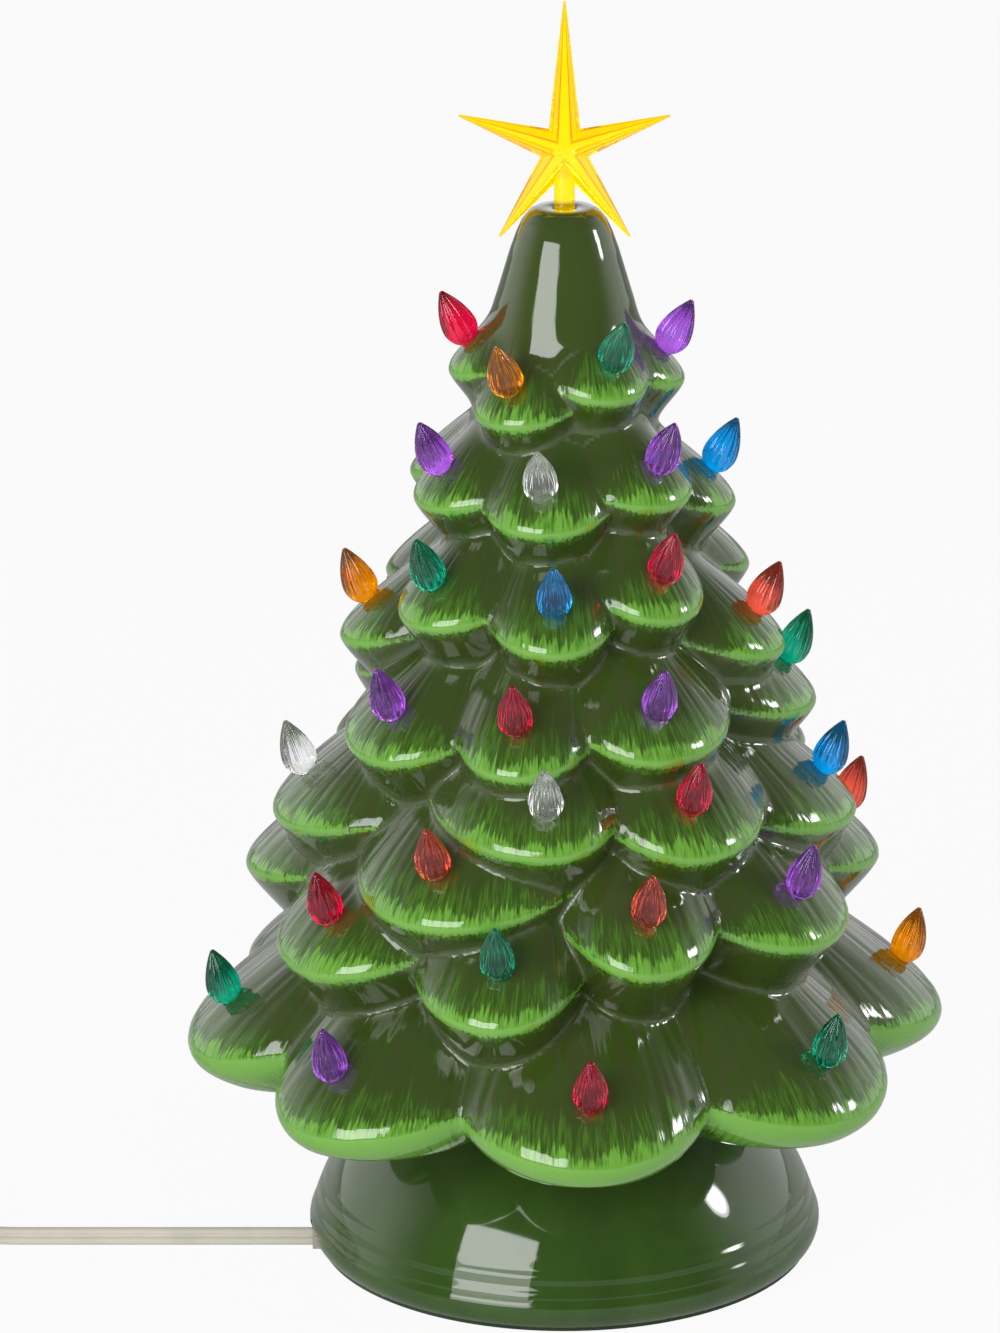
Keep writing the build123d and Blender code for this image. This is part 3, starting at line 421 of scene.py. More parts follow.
def branch_fields(index, branch, bearing, height, ridged):
    """Radius of one branch over arrays of bearings and heights, and its needles' across and along."""
    turn = (bearing - branch.bearing + 180) % 360 - 180
    share = turn / np.where(turn > 0, branch.right_spread, branch.left_spread)
    tip_reach = reach_at(branch.height)
    reach = tip_reach * (1 - SIDE_CUT * share**2)
    rise = height - branch.height - SIDE_LIFT_SHARE * tip_reach * share**2
    swell = SWELL_INSET * (np.maximum(rise, 0) / SWELL_RISE) ** SWELL_POWER
    under = branch.under_round * np.minimum(rise, 0) ** 2 - branch.underside * rise
    inset = (swell + under + np.sqrt((swell - under) ** 2 + LIP_ROUND**2) - LIP_ROUND) / 2
    radius = reach - inset
    away = np.sqrt(rise**2 + inset**2)
    edge = 1 - SIDE_PAINT_FADE * smooth_step(*SIDE_PAINT_SHARES, np.abs(share))
    along = np.where(rise > 0, away, away * branch.paint_under) / edge
    lateral = radius * np.sin(np.radians(turn))
    forward = radius * np.cos(np.radians(turn)) - FAN_ROOT_SHARE * tip_reach
    across = np.arctan2(lateral, np.maximum(forward, 1)) * tip_reach * (1 - FAN_ROOT_SHARE)
    if ridged:
        ridge_width = RIDGE_WIDTH_SHARE * tip_reach
        sway = np.sin(WANDER_RATE * across + WANDER_SHIFT * index)
        wander = WANDER_SHARE * away.clip(0, WANDER_LONGEST) * sway
        crowd = CROWD_SHARE * np.sin(CROWD_RATE * across / ridge_width + CROWD_SHIFT * index)
        wave = (across + wander) / ridge_width + RIDGE_SHIFT * index + crowd
        change = RIDGE_CHANGE * np.sin(RIDGE_CHANGE_RATE * np.floor(wave) + index)
        groove = (1 - np.cos(2 * pi * wave)) * (RIDGE_MEAN + change)
        root = [part * tip_reach for part in RIDGE_ROOT_SHARES]
        fade = smooth_step(RIDGE_START, RIDGE_FULL, np.where(rise > 0, away, -away))
        fade = fade * (1 - smooth_step(*root, away))
        radius = radius - RIDGE_DEPTH_SHARE * tip_reach * groove * fade
    radius = np.where(np.abs(share) > BRANCH_RANGE, 0, radius)
    return radius, across, along


def tree_fields(bearing, height, ridged=True):
    """Radius of the glaze over bearings and heights, and its needles' across, along and branch."""
    cap_radii, cap_heights = zip(*CAP_PROFILE)
    cap = np.interp(height, cap_heights, cap_radii)
    trunk = TRUNK_SHARE * reach_at(height) - TRUNK_INSET
    smooth = np.maximum(cap, trunk)
    largest = smooth.copy()
    total = np.exp((cap - largest) / CREASE_SOFTNESS) + np.exp((trunk - largest) / CREASE_SOFTNESS)
    needles = np.stack([np.zeros_like(height), np.full_like(height, UNPAINTED), np.zeros_like(height)], -1)
    for index, branch in enumerate(BRANCHES):
        radius, across, along = branch_fields(index, branch, bearing, height, ridged)
        winner = radius > largest
        higher = np.maximum(largest, radius)
        total = total * np.exp((largest - higher) / CREASE_SOFTNESS)
        total = total + np.exp((radius - higher) / CREASE_SOFTNESS)
        largest = higher
        here = np.stack([across, along, np.full_like(height, index)], -1)
        needles = np.where(winner[..., None], here, needles)
    return largest + CREASE_SOFTNESS * np.log(total), needles


def polar(radius, bearing):
    """Point at a radius from the trunk and a bearing from the front, in degrees."""
    return radius * np.sin(np.radians(bearing)), -radius * np.cos(np.radians(bearing))


def seat_at(branch, rise):
    """Matrix of a bulb on the glaze at a rise above a branch's tip, with its Z along the bulb."""
    first_row, last_row = ROWS[0][0], ROWS[-1][0]
    share = (branch.height - last_row) / (first_row - last_row)
    lean = radians(BULB_LEAN_LOW + (BULB_LEAN_HIGH - BULB_LEAN_LOW) * share)
    height = branch.height + rise
    bearing = np.array([float(branch.bearing)])
    radius, _ = tree_fields(bearing, np.array([height]), ridged=False)
    x, y = polar(radius[0], branch.bearing)
    lean_x, lean_y = polar(sin(lean), branch.bearing)
    turned = Vector((lean_x, lean_y, cos(lean))).to_track_quat("Z", "Y").to_matrix().to_4x4()
    return Matrix.Translation((x, y, height)) @ turned @ Matrix.Translation((0, 0, BULB_GAP))


def glaze_gap(seat):
    """Least gap between the glaze and a bulb on a seat, at points on rings of the bulb."""
    points = [
        seat @ Vector((*polar(radius, turn), height))
        for radius, height in BULB_RINGS
        for turn in range(0, 360, BULB_RING_STEP)
    ]
    places = np.array(points)
    bearing = np.degrees(np.arctan2(places[:, 0], -places[:, 1]))
    radius, _ = tree_fields(bearing, places[:, 2], ridged=False)
    return (np.hypot(places[:, 0], places[:, 1]) - radius).min()


def bulb_seat(branch):
    """Seat of a branch's bulb, brought down towards the tip until the bulb clears the row above."""
    rise = BULB_RISE + BULB_RISE_SHARE * reach_at(branch.height)
    seat = seat_at(branch, rise)
    while glaze_gap(seat) < BULB_CLEARANCE:
        rise -= BULB_RISE_STEP
        seat = seat_at(branch, rise)
    return seat


# Paints

MIX_FACTOR = 0
MIX_FIRST = 6
MIX_SECOND = 7
MIX_RESULT = 2


class Value:
    """One output of a material's nodes, which arithmetic turns into Math nodes."""

    def __init__(self, paint, socket):
        self.paint = paint
        self.socket = socket

    def __add__(self, other):
        return self.paint.math("ADD", self, other)

    def __sub__(self, other):
        return self.paint.math("SUBTRACT", self, other)

    def __mul__(self, other):
        return self.paint.math("MULTIPLY", self, other)

    def __truediv__(self, other):
        return self.paint.math("DIVIDE", self, other)

    def __radd__(self, other):
        return self.paint.math("ADD", other, self)

    def __rsub__(self, other):
        return self.paint.math("SUBTRACT", other, self)

    def __rmul__(self, other):
        return self.paint.math("MULTIPLY", other, self)

    def __rtruediv__(self, other):
        return self.paint.math("DIVIDE", other, self)


class Paint:
    """A material in the making: its node tree, and its one Principled shader where it has it."""

    def __init__(self, name, owner=None):
        self.owner = owner or bpy.data.materials.new(name)
        self.owner.use_nodes = True
        self.tree = self.owner.node_tree
        self.shader = self.tree.nodes.get("Principled BSDF")

    def node(self, kind, settings=None, sockets=None, output=0):
        """A new node of a kind, with its settings made and its sockets set or linked; gives one output."""
        made = self.tree.nodes.new(kind)
        for name, value in (settings or {}).items():
            setattr(made, name, value)
        for name, value in (sockets or {}).items():
            self.feed(made.inputs[name], value)
        return Value(self, made.outputs[output])

    def feed(self, socket, value):
        """Links a value to a socket, or sets the socket itself."""
        if isinstance(value, Value):
            self.tree.links.new(value.socket, socket)
        else:
            socket.default_value = value

    def surface(self, **sockets):
        """Feeds the Principled shader's sockets, named with underscores for spaces."""
        for name, value in sockets.items():
            self.feed(self.shader.inputs[name.replace("_", " ")], value)

    def math(self, operation, *values):
        """A Math node on values."""
        return self.node("ShaderNodeMath", {"operation": operation}, dict(enumerate(values)))

    def mix(self, factor, first, second):
        """A colour between two, by a factor."""
        first, second = (self.colour(part) for part in (first, second))
        sockets = {MIX_FACTOR: factor, MIX_FIRST: first, MIX_SECOND: second}
        return self.node("ShaderNodeMix", {"data_type": "RGBA"}, sockets, MIX_RESULT)

    def colour(self, part):
        """A colour with its alpha, or a linked value as it is."""
        return part if isinstance(part, Value) else (*part[:3], 1)

    def step(self, value, low, high):
        """Share from 0 at low to 1 at high, eased at both ends."""
        sockets = {"Value": value, "From Min": low, "From Max": high}
        return self.node("ShaderNodeMapRange", {"interpolation_type": "SMOOTHSTEP"}, sockets)

    def noise(self, vector, scale, detail=2.0, roughness=0.5):
        """Noise about 0.5 over a vector."""
        sockets = {"Vector": vector, "Scale": scale, "Detail": detail, "Roughness": roughness}
        return self.node("ShaderNodeTexNoise", None, sockets)

    def place(self):
        """Place on the object, in metres."""
        return self.node("ShaderNodeTexCoord", output="Object")

    def parts(self, vector):
        """The three numbers of a vector."""
        first = self.node("ShaderNodeSeparateXYZ", None, {0: vector})
        outputs = first.socket.node.outputs
        return [Value(self, output) for output in outputs]

    def vector(self, x, y, z):
        """A vector of three numbers."""
        return self.node("ShaderNodeCombineXYZ", None, {0: x, 1: y, 2: z})

    def bump(self, height, distance, strength=1.0, normal=None):
        """A bumped normal, from a height and its size in metres, over another where there is one."""
        sockets = {"Height": height, "Distance": distance, "Strength": strength}
        if normal:
            sockets["Normal"] = normal
        return self.node("ShaderNodeBump", None, sockets)


def toned(colour, share):
    """A colour made darker or lighter by a share."""
    return tuple(share * part for part in colour[:3])


def glossy(paint, colour, normal, gloss, speck_scale, dullness):
    """Finishes a glaze: its colour and bumps under a clear coat, and a finely uneven gloss."""
    speck = paint.step(paint.noise(paint.place(), scale=speck_scale), low=0.2, high=1.3)
    paint.surface(Base_Color=colour, Normal=normal, Roughness=speck * dullness + GLAZE_ROUGHNESS)
    paint.surface(IOR=GLAZE_IOR, Coat_Weight=gloss, Coat_Roughness=COAT_ROUGHNESS)


def branch_glaze(look):
    """Dark glossy glaze whose branch edges are painted light green in feathered brush strokes."""
    paint = Paint("branch_glaze")
    needles = paint.node("ShaderNodeAttribute", {"attribute_name": "needles"}, output="Vector")
    across, along, branch = paint.parts(needles)
    stroke_place = paint.vector(across, along * STROKE_STRETCH, branch * STROKE_SHIFT)
    tuft_place = paint.vector(across * TUFT_STRETCH[0], along * TUFT_STRETCH[1], branch * TUFT_SHIFT)
    hair_place = paint.vector(across, branch * HAIR_SHIFT, 0.0)
    fine = paint.noise(stroke_place, scale=1.2, roughness=0.6)
    broad = paint.noise(stroke_place, scale=0.5)
    tuft = paint.noise(tuft_place, scale=1.0, detail=1.0)
    hair = paint.noise(hair_place, scale=1.1, detail=1.0, roughness=0.6)
    light_length = look.stroke_length / MM * (hair * HAIR_WEIGHT + tuft * TUFT_WEIGHT - LENGTH_DROP)
    middle_length = light_length * MIDDLE_LENGTH + MIDDLE_SPREAD * (broad - MIDDLE_DROP)
    light = 1.0 - paint.step(along - light_length, low=-LIGHT_EDGE, high=LIGHT_EDGE)
    middle = 1.0 - paint.step(along - middle_length, low=-MIDDLE_EDGE, high=MIDDLE_EDGE)
    dark_colour = paint.mix(paint.step(broad, low=0.35, high=0.65), look.dark, look.dark_warm)
    middle_colour = paint.mix(paint.step(fine, low=0.35, high=0.65), look.middle, look.dark)
    light_colour = paint.mix(paint.step(fine, low=0.4, high=0.75), look.light, look.light_deep)
    lip_colour = paint.mix(paint.step(along, low=0.5, high=3.0), look.light, light_colour)
    colour = paint.mix(middle * MIDDLE_STRENGTH, dark_colour, middle_colour)
    colour = paint.mix(light, colour, lip_colour)
    ripple = paint.bump(fine * FINE_RIPPLE + broad * BROAD_RIPPLE, distance=0.00035, strength=0.4)
    swell = paint.noise(paint.place(), scale=55.0, roughness=0.4)
    shaped = paint.bump(swell, distance=0.0012, strength=0.45, normal=ripple)
    glossy(paint, colour, shaped, look.gloss, speck_scale=320.0, dullness=0.12)
    return paint.owner


def plain_glaze(name, colour, deep_colour, gloss):
    """Dark glossy glaze with faint pooled streaks that run down it, and turning lines near its foot."""
    paint = Paint(name)
    x, y, z = paint.parts(paint.place())
    streak_place = paint.vector(x * STREAKS_ACROSS, y * STREAKS_ACROSS, z * STREAKS_DOWN)
    streaks = paint.noise(streak_place, scale=1.0, detail=3.0)
    pools = paint.noise(paint.place(), scale=28.0)
    blend = paint.step(streaks * STREAK_WEIGHT + pools * POOL_WEIGHT, low=0.38, high=0.64)
    swell = paint.noise(paint.place(), scale=40.0, detail=1.0, roughness=0.3) * BASE_SWELL
    low_band = paint.step(z, *TURNING_START) * (1.0 - paint.step(z, *TURNING_END))
    lines = paint.math("SINE", (z + TURNING_WAVER * pools) * (2 * pi / TURNING_PITCH)) * low_band
    shaped = paint.bump(swell + lines * TURNING_DEPTH, distance=0.0012, strength=0.5)
    glossy(paint, paint.mix(blend, colour, deep_colour), shaped, gloss, speck_scale=350.0, dullness=0.10)
    return paint.owner


def bisque(name, colour):
    """Unglazed fired clay, matt and finely grained."""
    paint = Paint(name)
    grain = paint.noise(paint.place(), scale=900.0, detail=3.0)
    cloud = paint.step(paint.noise(paint.place(), scale=35.0), low=0.35, high=0.7)
    paint.surface(Base_Color=paint.mix(cloud, colour, toned(colour, share=0.8)))
    paint.surface(Roughness=grain * 0.2 + 0.7, Normal=paint.bump(grain, distance=0.0002, strength=0.5))
    return paint.owner


def clear_plastic(name, colour, deep_colour, clearness, painted_glow):
    """Tinted see-through moulded plastic, deeper in colour in random swirls."""
    paint = Paint(name)
    swirl = paint.noise(paint.place(), scale=140.0)
    smear = paint.noise(paint.place(), scale=420.0)
    paint.surface(Base_Color=paint.mix(paint.step(swirl, low=0.35, high=0.68), colour, deep_colour))
    paint.surface(Roughness=smear * 0.08 + 0.02, Normal=paint.bump(swirl, distance=0.0004, strength=0.2))
    paint.surface(IOR=1.42, Transmission_Weight=clearness, Coat_Weight=0.6, Coat_Roughness=0.02)
    # Painted glow: the bulb's colour given off as faint light, though the bulb is no lamp
    paint.surface(Emission_Color=(*colour[:3], 1), Emission_Strength=painted_glow)
    return paint.owner


def star_plastic(colour, edge_shade_colour):
    """See-through plastic of the star, with painted shade on the slanted sides of its arms and along their
    edges, and a painted glow.
    """
    paint = Paint("star_plastic")
    x, y, z = paint.parts(paint.place())
    rise = z - STAR_CENTRE * MM
    turn = paint.math("ARCTAN2", x, rise) * (STAR_ARMS / (2 * pi))
    off = paint.math("ABSOLUTE", turn - paint.math("ROUND", turn)) * (2 * pi / STAR_ARMS)
    spoke = paint.math("SQRT", x * x + rise * rise)
    longer = (STAR_TOP - STAR_CENTRE - STAR_ARM) * MM
    length = STAR_ARM * MM + longer * (1.0 - paint.step(paint.math("ABSOLUTE", turn), *STAR_TOP_TURN))
    half_width = STAR_ARM_HALF_WIDTH * MM * (STAR_TIP_SPARE - spoke / length)
    share = spoke * paint.math("SINE", off) / half_width
    stem = 1.0 - paint.step(paint.math("ABSOLUTE", x), *STEM_EDGE)
    stem = stem * (1.0 - paint.step(rise, *STEM_TOP))
    # Painted shade on the slanted sides of each arm, kept off the stem
    shaded_slant = paint.step(share, *STAR_SHADED_SLANT_SHARES) * (1.0 - stem)
    # Painted shade in a thin line along the edge of each arm, kept off the stem
    beside = paint.math("ABSOLUTE", share - STAR_BAND_SHARE)
    line = (1.0 - paint.step(beside, *STAR_EDGE_SHADE_SHARES)) * (1.0 - stem)
    swirl = paint.noise(paint.place(), scale=140.0)
    cloud = STAR_SWIRL_STRENGTH * paint.step(swirl, low=0.35, high=0.68)
    slant_shade_colour = tuple(part * tint for part, tint in zip(colour, STAR_SLANT_SHADE_TINT))
    shade = paint.mix(shaded_slant * STAR_SLANT_SHADE_STRENGTH + cloud, colour, slant_shade_colour)
    shade = paint.mix(line * STAR_EDGE_SHADE_STRENGTH, shade, edge_shade_colour)
    # Painted glow: the colour, painted shade included, is given off as light, though the star is no lamp
    paint.surface(Base_Color=shade, Emission_Color=shade, Emission_Strength=STAR_PAINTED_GLOW)
    paint.surface(Roughness=swirl * 0.06 + 0.02, Normal=paint.bump(swirl, distance=0.0004, strength=0.2))
    paint.surface(IOR=1.3, Transmission_Weight=0.95, Coat_Weight=0.6, Coat_Roughness=0.02)
    return paint.owner


def moulded(name, colour, roughness, grain_scale=700.0, grain_depth=0.00012):
    """Moulded plastic, rubber or vinyl with a fine grain and slight handling marks."""
    paint = Paint(name)
    grain = paint.noise(paint.place(), scale=grain_scale, detail=3.0)
    wear = paint.step(paint.noise(paint.place(), scale=60.0, detail=3.0), low=0.4, high=0.75)
    paint.surface(Base_Color=paint.mix(wear, colour, toned(colour, share=0.9)))
    paint.surface(Roughness=grain * 0.2 + roughness)
    paint.surface(Normal=paint.bump(grain, distance=grain_depth, strength=0.5))
    return paint.owner


def metal(name, colour, roughness, thread=0.0):
    """Bare metal with rubbed streaks, and with a rolled thread of a pitch where there is one."""
    paint = Paint(name)
    x, y, z = paint.parts(paint.place())
    rub = paint.noise(paint.vector(x * RUB_ACROSS, y * RUB_ACROSS, z * RUB_UP), scale=1.0)
    tarnish = paint.step(paint.noise(paint.place(), scale=120.0, detail=3.0), low=0.42, high=0.75)
    paint.surface(Base_Color=paint.mix(tarnish, colour, toned(colour, share=0.6)))
    paint.surface(Metallic=1.0, Roughness=rub * 0.2 + roughness)
    if thread:
        turn = paint.math("ARCTAN2", y, x) / (2 * pi)
        ridge = paint.math("SINE", (z / thread + turn) * (2 * pi))
        paint.surface(Normal=paint.bump(ridge, distance=0.0006))
    else:
        paint.surface(Normal=paint.bump(rub, distance=0.00005, strength=0.4))
    return paint.owner


def felt_cloth(name, colour):
    """Pressed felt with matted fibres."""
    paint = Paint(name)
    fibres = paint.noise(paint.place(), scale=1500.0, detail=4.0, roughness=0.7)
    matting = paint.noise(paint.place(), scale=160.0, detail=3.0)
    blend = paint.step(fibres * FIBRE_WEIGHT + matting * MATTING_WEIGHT, low=0.35, high=0.7)
    paint.surface(Base_Color=paint.mix(blend, colour, toned(colour, share=1.7)))
    paint.surface(Roughness=0.95, Sheen_Weight=0.3)
    paint.surface(Normal=paint.bump(fibres, distance=0.0006, strength=0.9))
    return paint.owner


def lamp_bulb_glass():
    """Clear thin lamp glass with slight draw lines."""
    paint = Paint("lamp_bulb_glass")
    lines = paint.noise(paint.place(), scale=90.0)
    paint.surface(Base_Color=LAMP_CLEAR, Transmission_Weight=1.0, IOR=1.1)
    paint.surface(Roughness=lines * 0.05, Normal=paint.bump(lines, distance=0.0003, strength=0.2))
    return paint.owner


# Making pieces


def mesh_piece(name, points, faces, materials, body, replaced):
    """A mesh object made of points in metres and faces, riding on a body in place of nodes."""
    mesh = bpy.data.meshes.new(name)
    mesh.from_pydata(points, [], faces)
    mesh.polygons.foreach_set("use_smooth", [True] * len(mesh.polygons))
    piece = bpy.data.objects.new(name, mesh)
    bpy.context.scene.collection.objects.link(piece)
    for material in materials:
        mesh.materials.append(material)
    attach(piece, body)
    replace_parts(piece, *replaced)
    return piece


def ring_faces(rings, sides, start=0):
    """Quads between neighbouring rings of points, facing outwards where the rings go down."""
    first = start + np.arange(rings - 1)[:, None] * sides + np.arange(sides)[None, :]
    second = start + np.arange(rings - 1)[:, None] * sides + (np.arange(sides)[None, :] + 1) % sides
    quads = np.stack([first, first + sides, second + sides, second], -1)
    return quads.reshape(-1, 4)


def dress(node, material):
    """Gives a node that keeps its shape a better material."""
    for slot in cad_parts[node].material_slots:
        slot.material = material


# Settings


def colour_choice(name, description, *display_colour):
    """A colour among the settings, whose default is a display colour."""
    return FloatVectorProperty(
        name=name, description=description, default=linear(*display_colour), subtype="COLOR",
    )


class StageSettings(bpy.types.PropertyGroup):
    """Camera and floor."""

    distance: FloatProperty(
        name="Camera distance", description="From the camera to the foot of the tree",
        default=1.9, unit="LENGTH",
    )
    elevation: FloatProperty(
        name="Camera elevation", description="Of the camera over the foot of the tree",
        default=radians(23.2), subtype="ANGLE",
    )
    pitch: FloatProperty(
        name="Camera pitch", description="How far the camera looks down",
        default=radians(18.003), subtype="ANGLE",
    )
    lens: FloatProperty(name="Lens", description="Focal length in millimetres", default=167.63)
    shift: FloatProperty(
        name="Shift", description="Sideways shift of the frame, as a share of its longer side",
        default=-0.0484,
    )
    floor_size: FloatProperty(
        name="Floor size", description="Side of the floor", default=24.0, unit="LENGTH",
    )
    floor_colour: FloatVectorProperty(
        name="Floor colour", description="Colour of the floor", default=(0.93, 0.93, 0.93), subtype="COLOR",
    )


class TreeSettings(bpy.types.PropertyGroup):
    """Glaze of the tree and the fineness of its surface."""

    sides: IntProperty(name="Sides", description="Points round the tree", default=600)
    step: FloatProperty(
        name="Step", description="Height between rings of points", default=0.9 * MM, unit="LENGTH",
    )
    stroke_length: FloatProperty(
        name="Stroke length", description="Usual length of a light brush stroke",
        default=7.5 * MM, unit="LENGTH",
    )
    gloss: FloatProperty(name="Gloss", description="Strength of the clear coat", default=0.7)
    dark: colour_choice("Dark", "Dark green of the branches", 64, 90, 32)
    dark_warm: colour_choice("Dark, warm", "Second dark green", 72, 84, 42)
    middle: colour_choice("Middle", "Green of the long strokes", 86, 136, 44)
    light: colour_choice("Light", "Light green of the edges", 124, 188, 72)
    light_deep: colour_choice("Light, deep", "Deeper strokes in the light edges", 74, 124, 38)
    clay: colour_choice("Clay", "Unglazed clay of the inside", 214, 208, 194)


class BulbSettings(bpy.types.PropertyGroup):
    """Coloured bulbs and the star."""

    flutes: IntProperty(name="Flutes", description="Flutes round a bulb", default=12)
    flute_depth: FloatProperty(name="Flute depth", description="As a share of the radius", default=0.2)
    clearness: FloatProperty(name="Clearness", description="Share of light that goes through", default=0.99)
    # Painted glow of the bulbs: a faint emission, though they are no lamps
    painted_glow: FloatProperty(name="Glow", description="Light that the bulbs spread themselves", default=0.03)
    red: colour_choice("Red", "Red bulbs", 238, 10, 70)
    coral: colour_choice("Coral", "Coral bulbs", 246, 92, 70)
    orange: colour_choice("Orange", "Amber bulbs", 250, 148, 4)
    green: colour_choice("Green", "Teal green bulbs", 4, 168, 130)
    blue: colour_choice("Blue", "Blue bulbs", 4, 160, 244)
    purple: colour_choice("Purple", "Purple bulbs", 184, 98, 240)
    clear: colour_choice("Clear", "Clear bulbs", 244, 246, 245)
    star: colour_choice("Star", "Star", 255, 221, 14)
    # Painted shade along the edges of the star's arms
    star_edge_shade: colour_choice("Star's edges", "Edges along the star's arms", 212, 112, 0)


class BaseSettings(bpy.types.PropertyGroup):
    """Base, lamp and cord."""

    glaze: colour_choice("Base glaze", "Dark green of the base", 62, 94, 32)
    glaze_deep: colour_choice("Base glaze, deep", "Where the glaze pools", 54, 82, 28)
    ivory: colour_choice("Ivory", "Vinyl of the cord, switch and plug", 236, 230, 216)
    cord_tilt: FloatProperty(
        name="Cord tilt", description="Lean of the flat cord from standing on edge", default=radians(27),
        subtype="ANGLE",
    )
    brass: colour_choice("Brass", "Brass of the lamp and plug", 214, 178, 104)


# Operators


class TREE_OT_stage(bpy.types.Operator):
    """Set up the camera, the floor, the studio and its lamps"""

    bl_idname = "ceramic_tree.stage"
    bl_label = "Stage"

    def execute(self, context):
        look = context.scene.tree_stage
        self.place_camera(context, look)
        self.lay_floor(context, look)
        self.light_studio(context)
        self.hang_lamp(context, "key_softbox", "RECTANGLE", KEY_PLACE, KEY_SIZE, KEY_RADIANCE)
        for index, width in enumerate(SIDE_WIDTHS):
            size = width, SIDE_TALLNESS * width
            place = [part * (1 + SIDE_SPACING * index) for part in SIDE_PLACE]
            self.hang_lamp(context, f"side_softbox_{index}", "ELLIPSE", place, size, SIDE_RADIANCE)
        fill = self.hang_lamp(context, "front_fill", "RECTANGLE", FILL_PLACE, FILL_SIZE, FILL_RADIANCE)
        fill.visible_glossy = False
        context.scene.view_settings.view_transform = "Standard"
        return {"FINISHED"}

    def place_camera(self, context, look):
        """The photograph's view: long lens, looking down at the tree from the front."""
        camera = bpy.data.objects.new("camera", bpy.data.cameras.new("camera"))
        context.scene.collection.objects.link(camera)
        height = look.distance * sin(look.elevation)
        camera.location = (0, -look.distance * cos(look.elevation), height)
        camera.rotation_euler = (pi / 2 - look.pitch, 0, 0)
        camera.data.lens = look.lens
        camera.data.sensor_width = SENSOR_WIDTH
        camera.data.shift_x = look.shift
        camera.data.clip_end = VIEW_END
        context.scene.camera = camera

    def lay_floor(self, context, look):
        """A wide pale floor, white to the camera but for the shadows."""
        half = look.floor_size / 2
        mesh = bpy.data.meshes.new("floor")
        corners = [(-half, -half, 0), (half, -half, 0), (half, half, 0), (-half, half, 0)]
        mesh.from_pydata(corners, [], [(0, 1, 2, 3)])
        floor = bpy.data.objects.new("floor", mesh)
        context.scene.collection.objects.link(floor)
        paint = Paint("floor")
        paint.surface(Base_Color=(*look.floor_colour, 1), Roughness=0.9)
        seen = self.seen_plainly(paint) * FLOOR_WHITENESS
        white = paint.node("ShaderNodeEmission", None, {"Color": WHITE, "Strength": 1.0})
        sockets = {0: seen, 1: Value(paint, paint.shader.outputs[0]), 2: white}
        paint.feed(
            paint.tree.nodes["Material Output"].inputs["Surface"],
            paint.node("ShaderNodeMixShader", None, sockets),
        )
        mesh.materials.append(paint.owner)

    def light_studio(self, context):
        """White walls to the sides and the back, dark in front and above, plain white when looked at."""
        world = bpy.data.worlds.new("studio")
        context.scene.world = world
        paint = Paint("studio", world)
        background = paint.tree.nodes["Background"]
        x, y, z = paint.parts(paint.node("ShaderNodeTexCoord", output="Generated"))
        walls = paint.step(y, *WALL_START) * (1.0 - paint.step(z, *WALL_TOP))
        lit = walls * WALL_LEVEL + ROOM_LEVEL
        level = paint.math("MAXIMUM", lit, self.seen_plainly(paint))
        paint.feed(background.inputs["Color"], WHITE)
        paint.feed(background.inputs["Strength"], level)

    def seen_plainly(self, paint):
        """1 where the camera looks at the surface, or through glass at it, and otherwise 0."""
        light_path = paint.node("ShaderNodeLightPath").socket.node
        looked_at = Value(paint, light_path.outputs["Is Camera Ray"])
        looked_through = Value(paint, light_path.outputs["Is Transmission Ray"])
        return paint.math("MAXIMUM", looked_at, looked_through)

    def hang_lamp(self, context, name, shape, place, size, radiance):
        """An area lamp of a shape, a size and a radiance, turned to the middle of the tree."""
        lamp = bpy.data.lights.new(name, "AREA")
        lamp.shape = shape
        lamp.size, lamp.size_y = size
        lamp.energy = radiance * pi * size[0] * size[1]
        made = bpy.data.objects.new(name, lamp)
        context.scene.collection.objects.link(made)
        made.location = place
        way = Vector(LAMP_AIM) - Vector(place)
        made.rotation_euler = way.to_track_quat("-Z", "Y").to_euler()
        return made


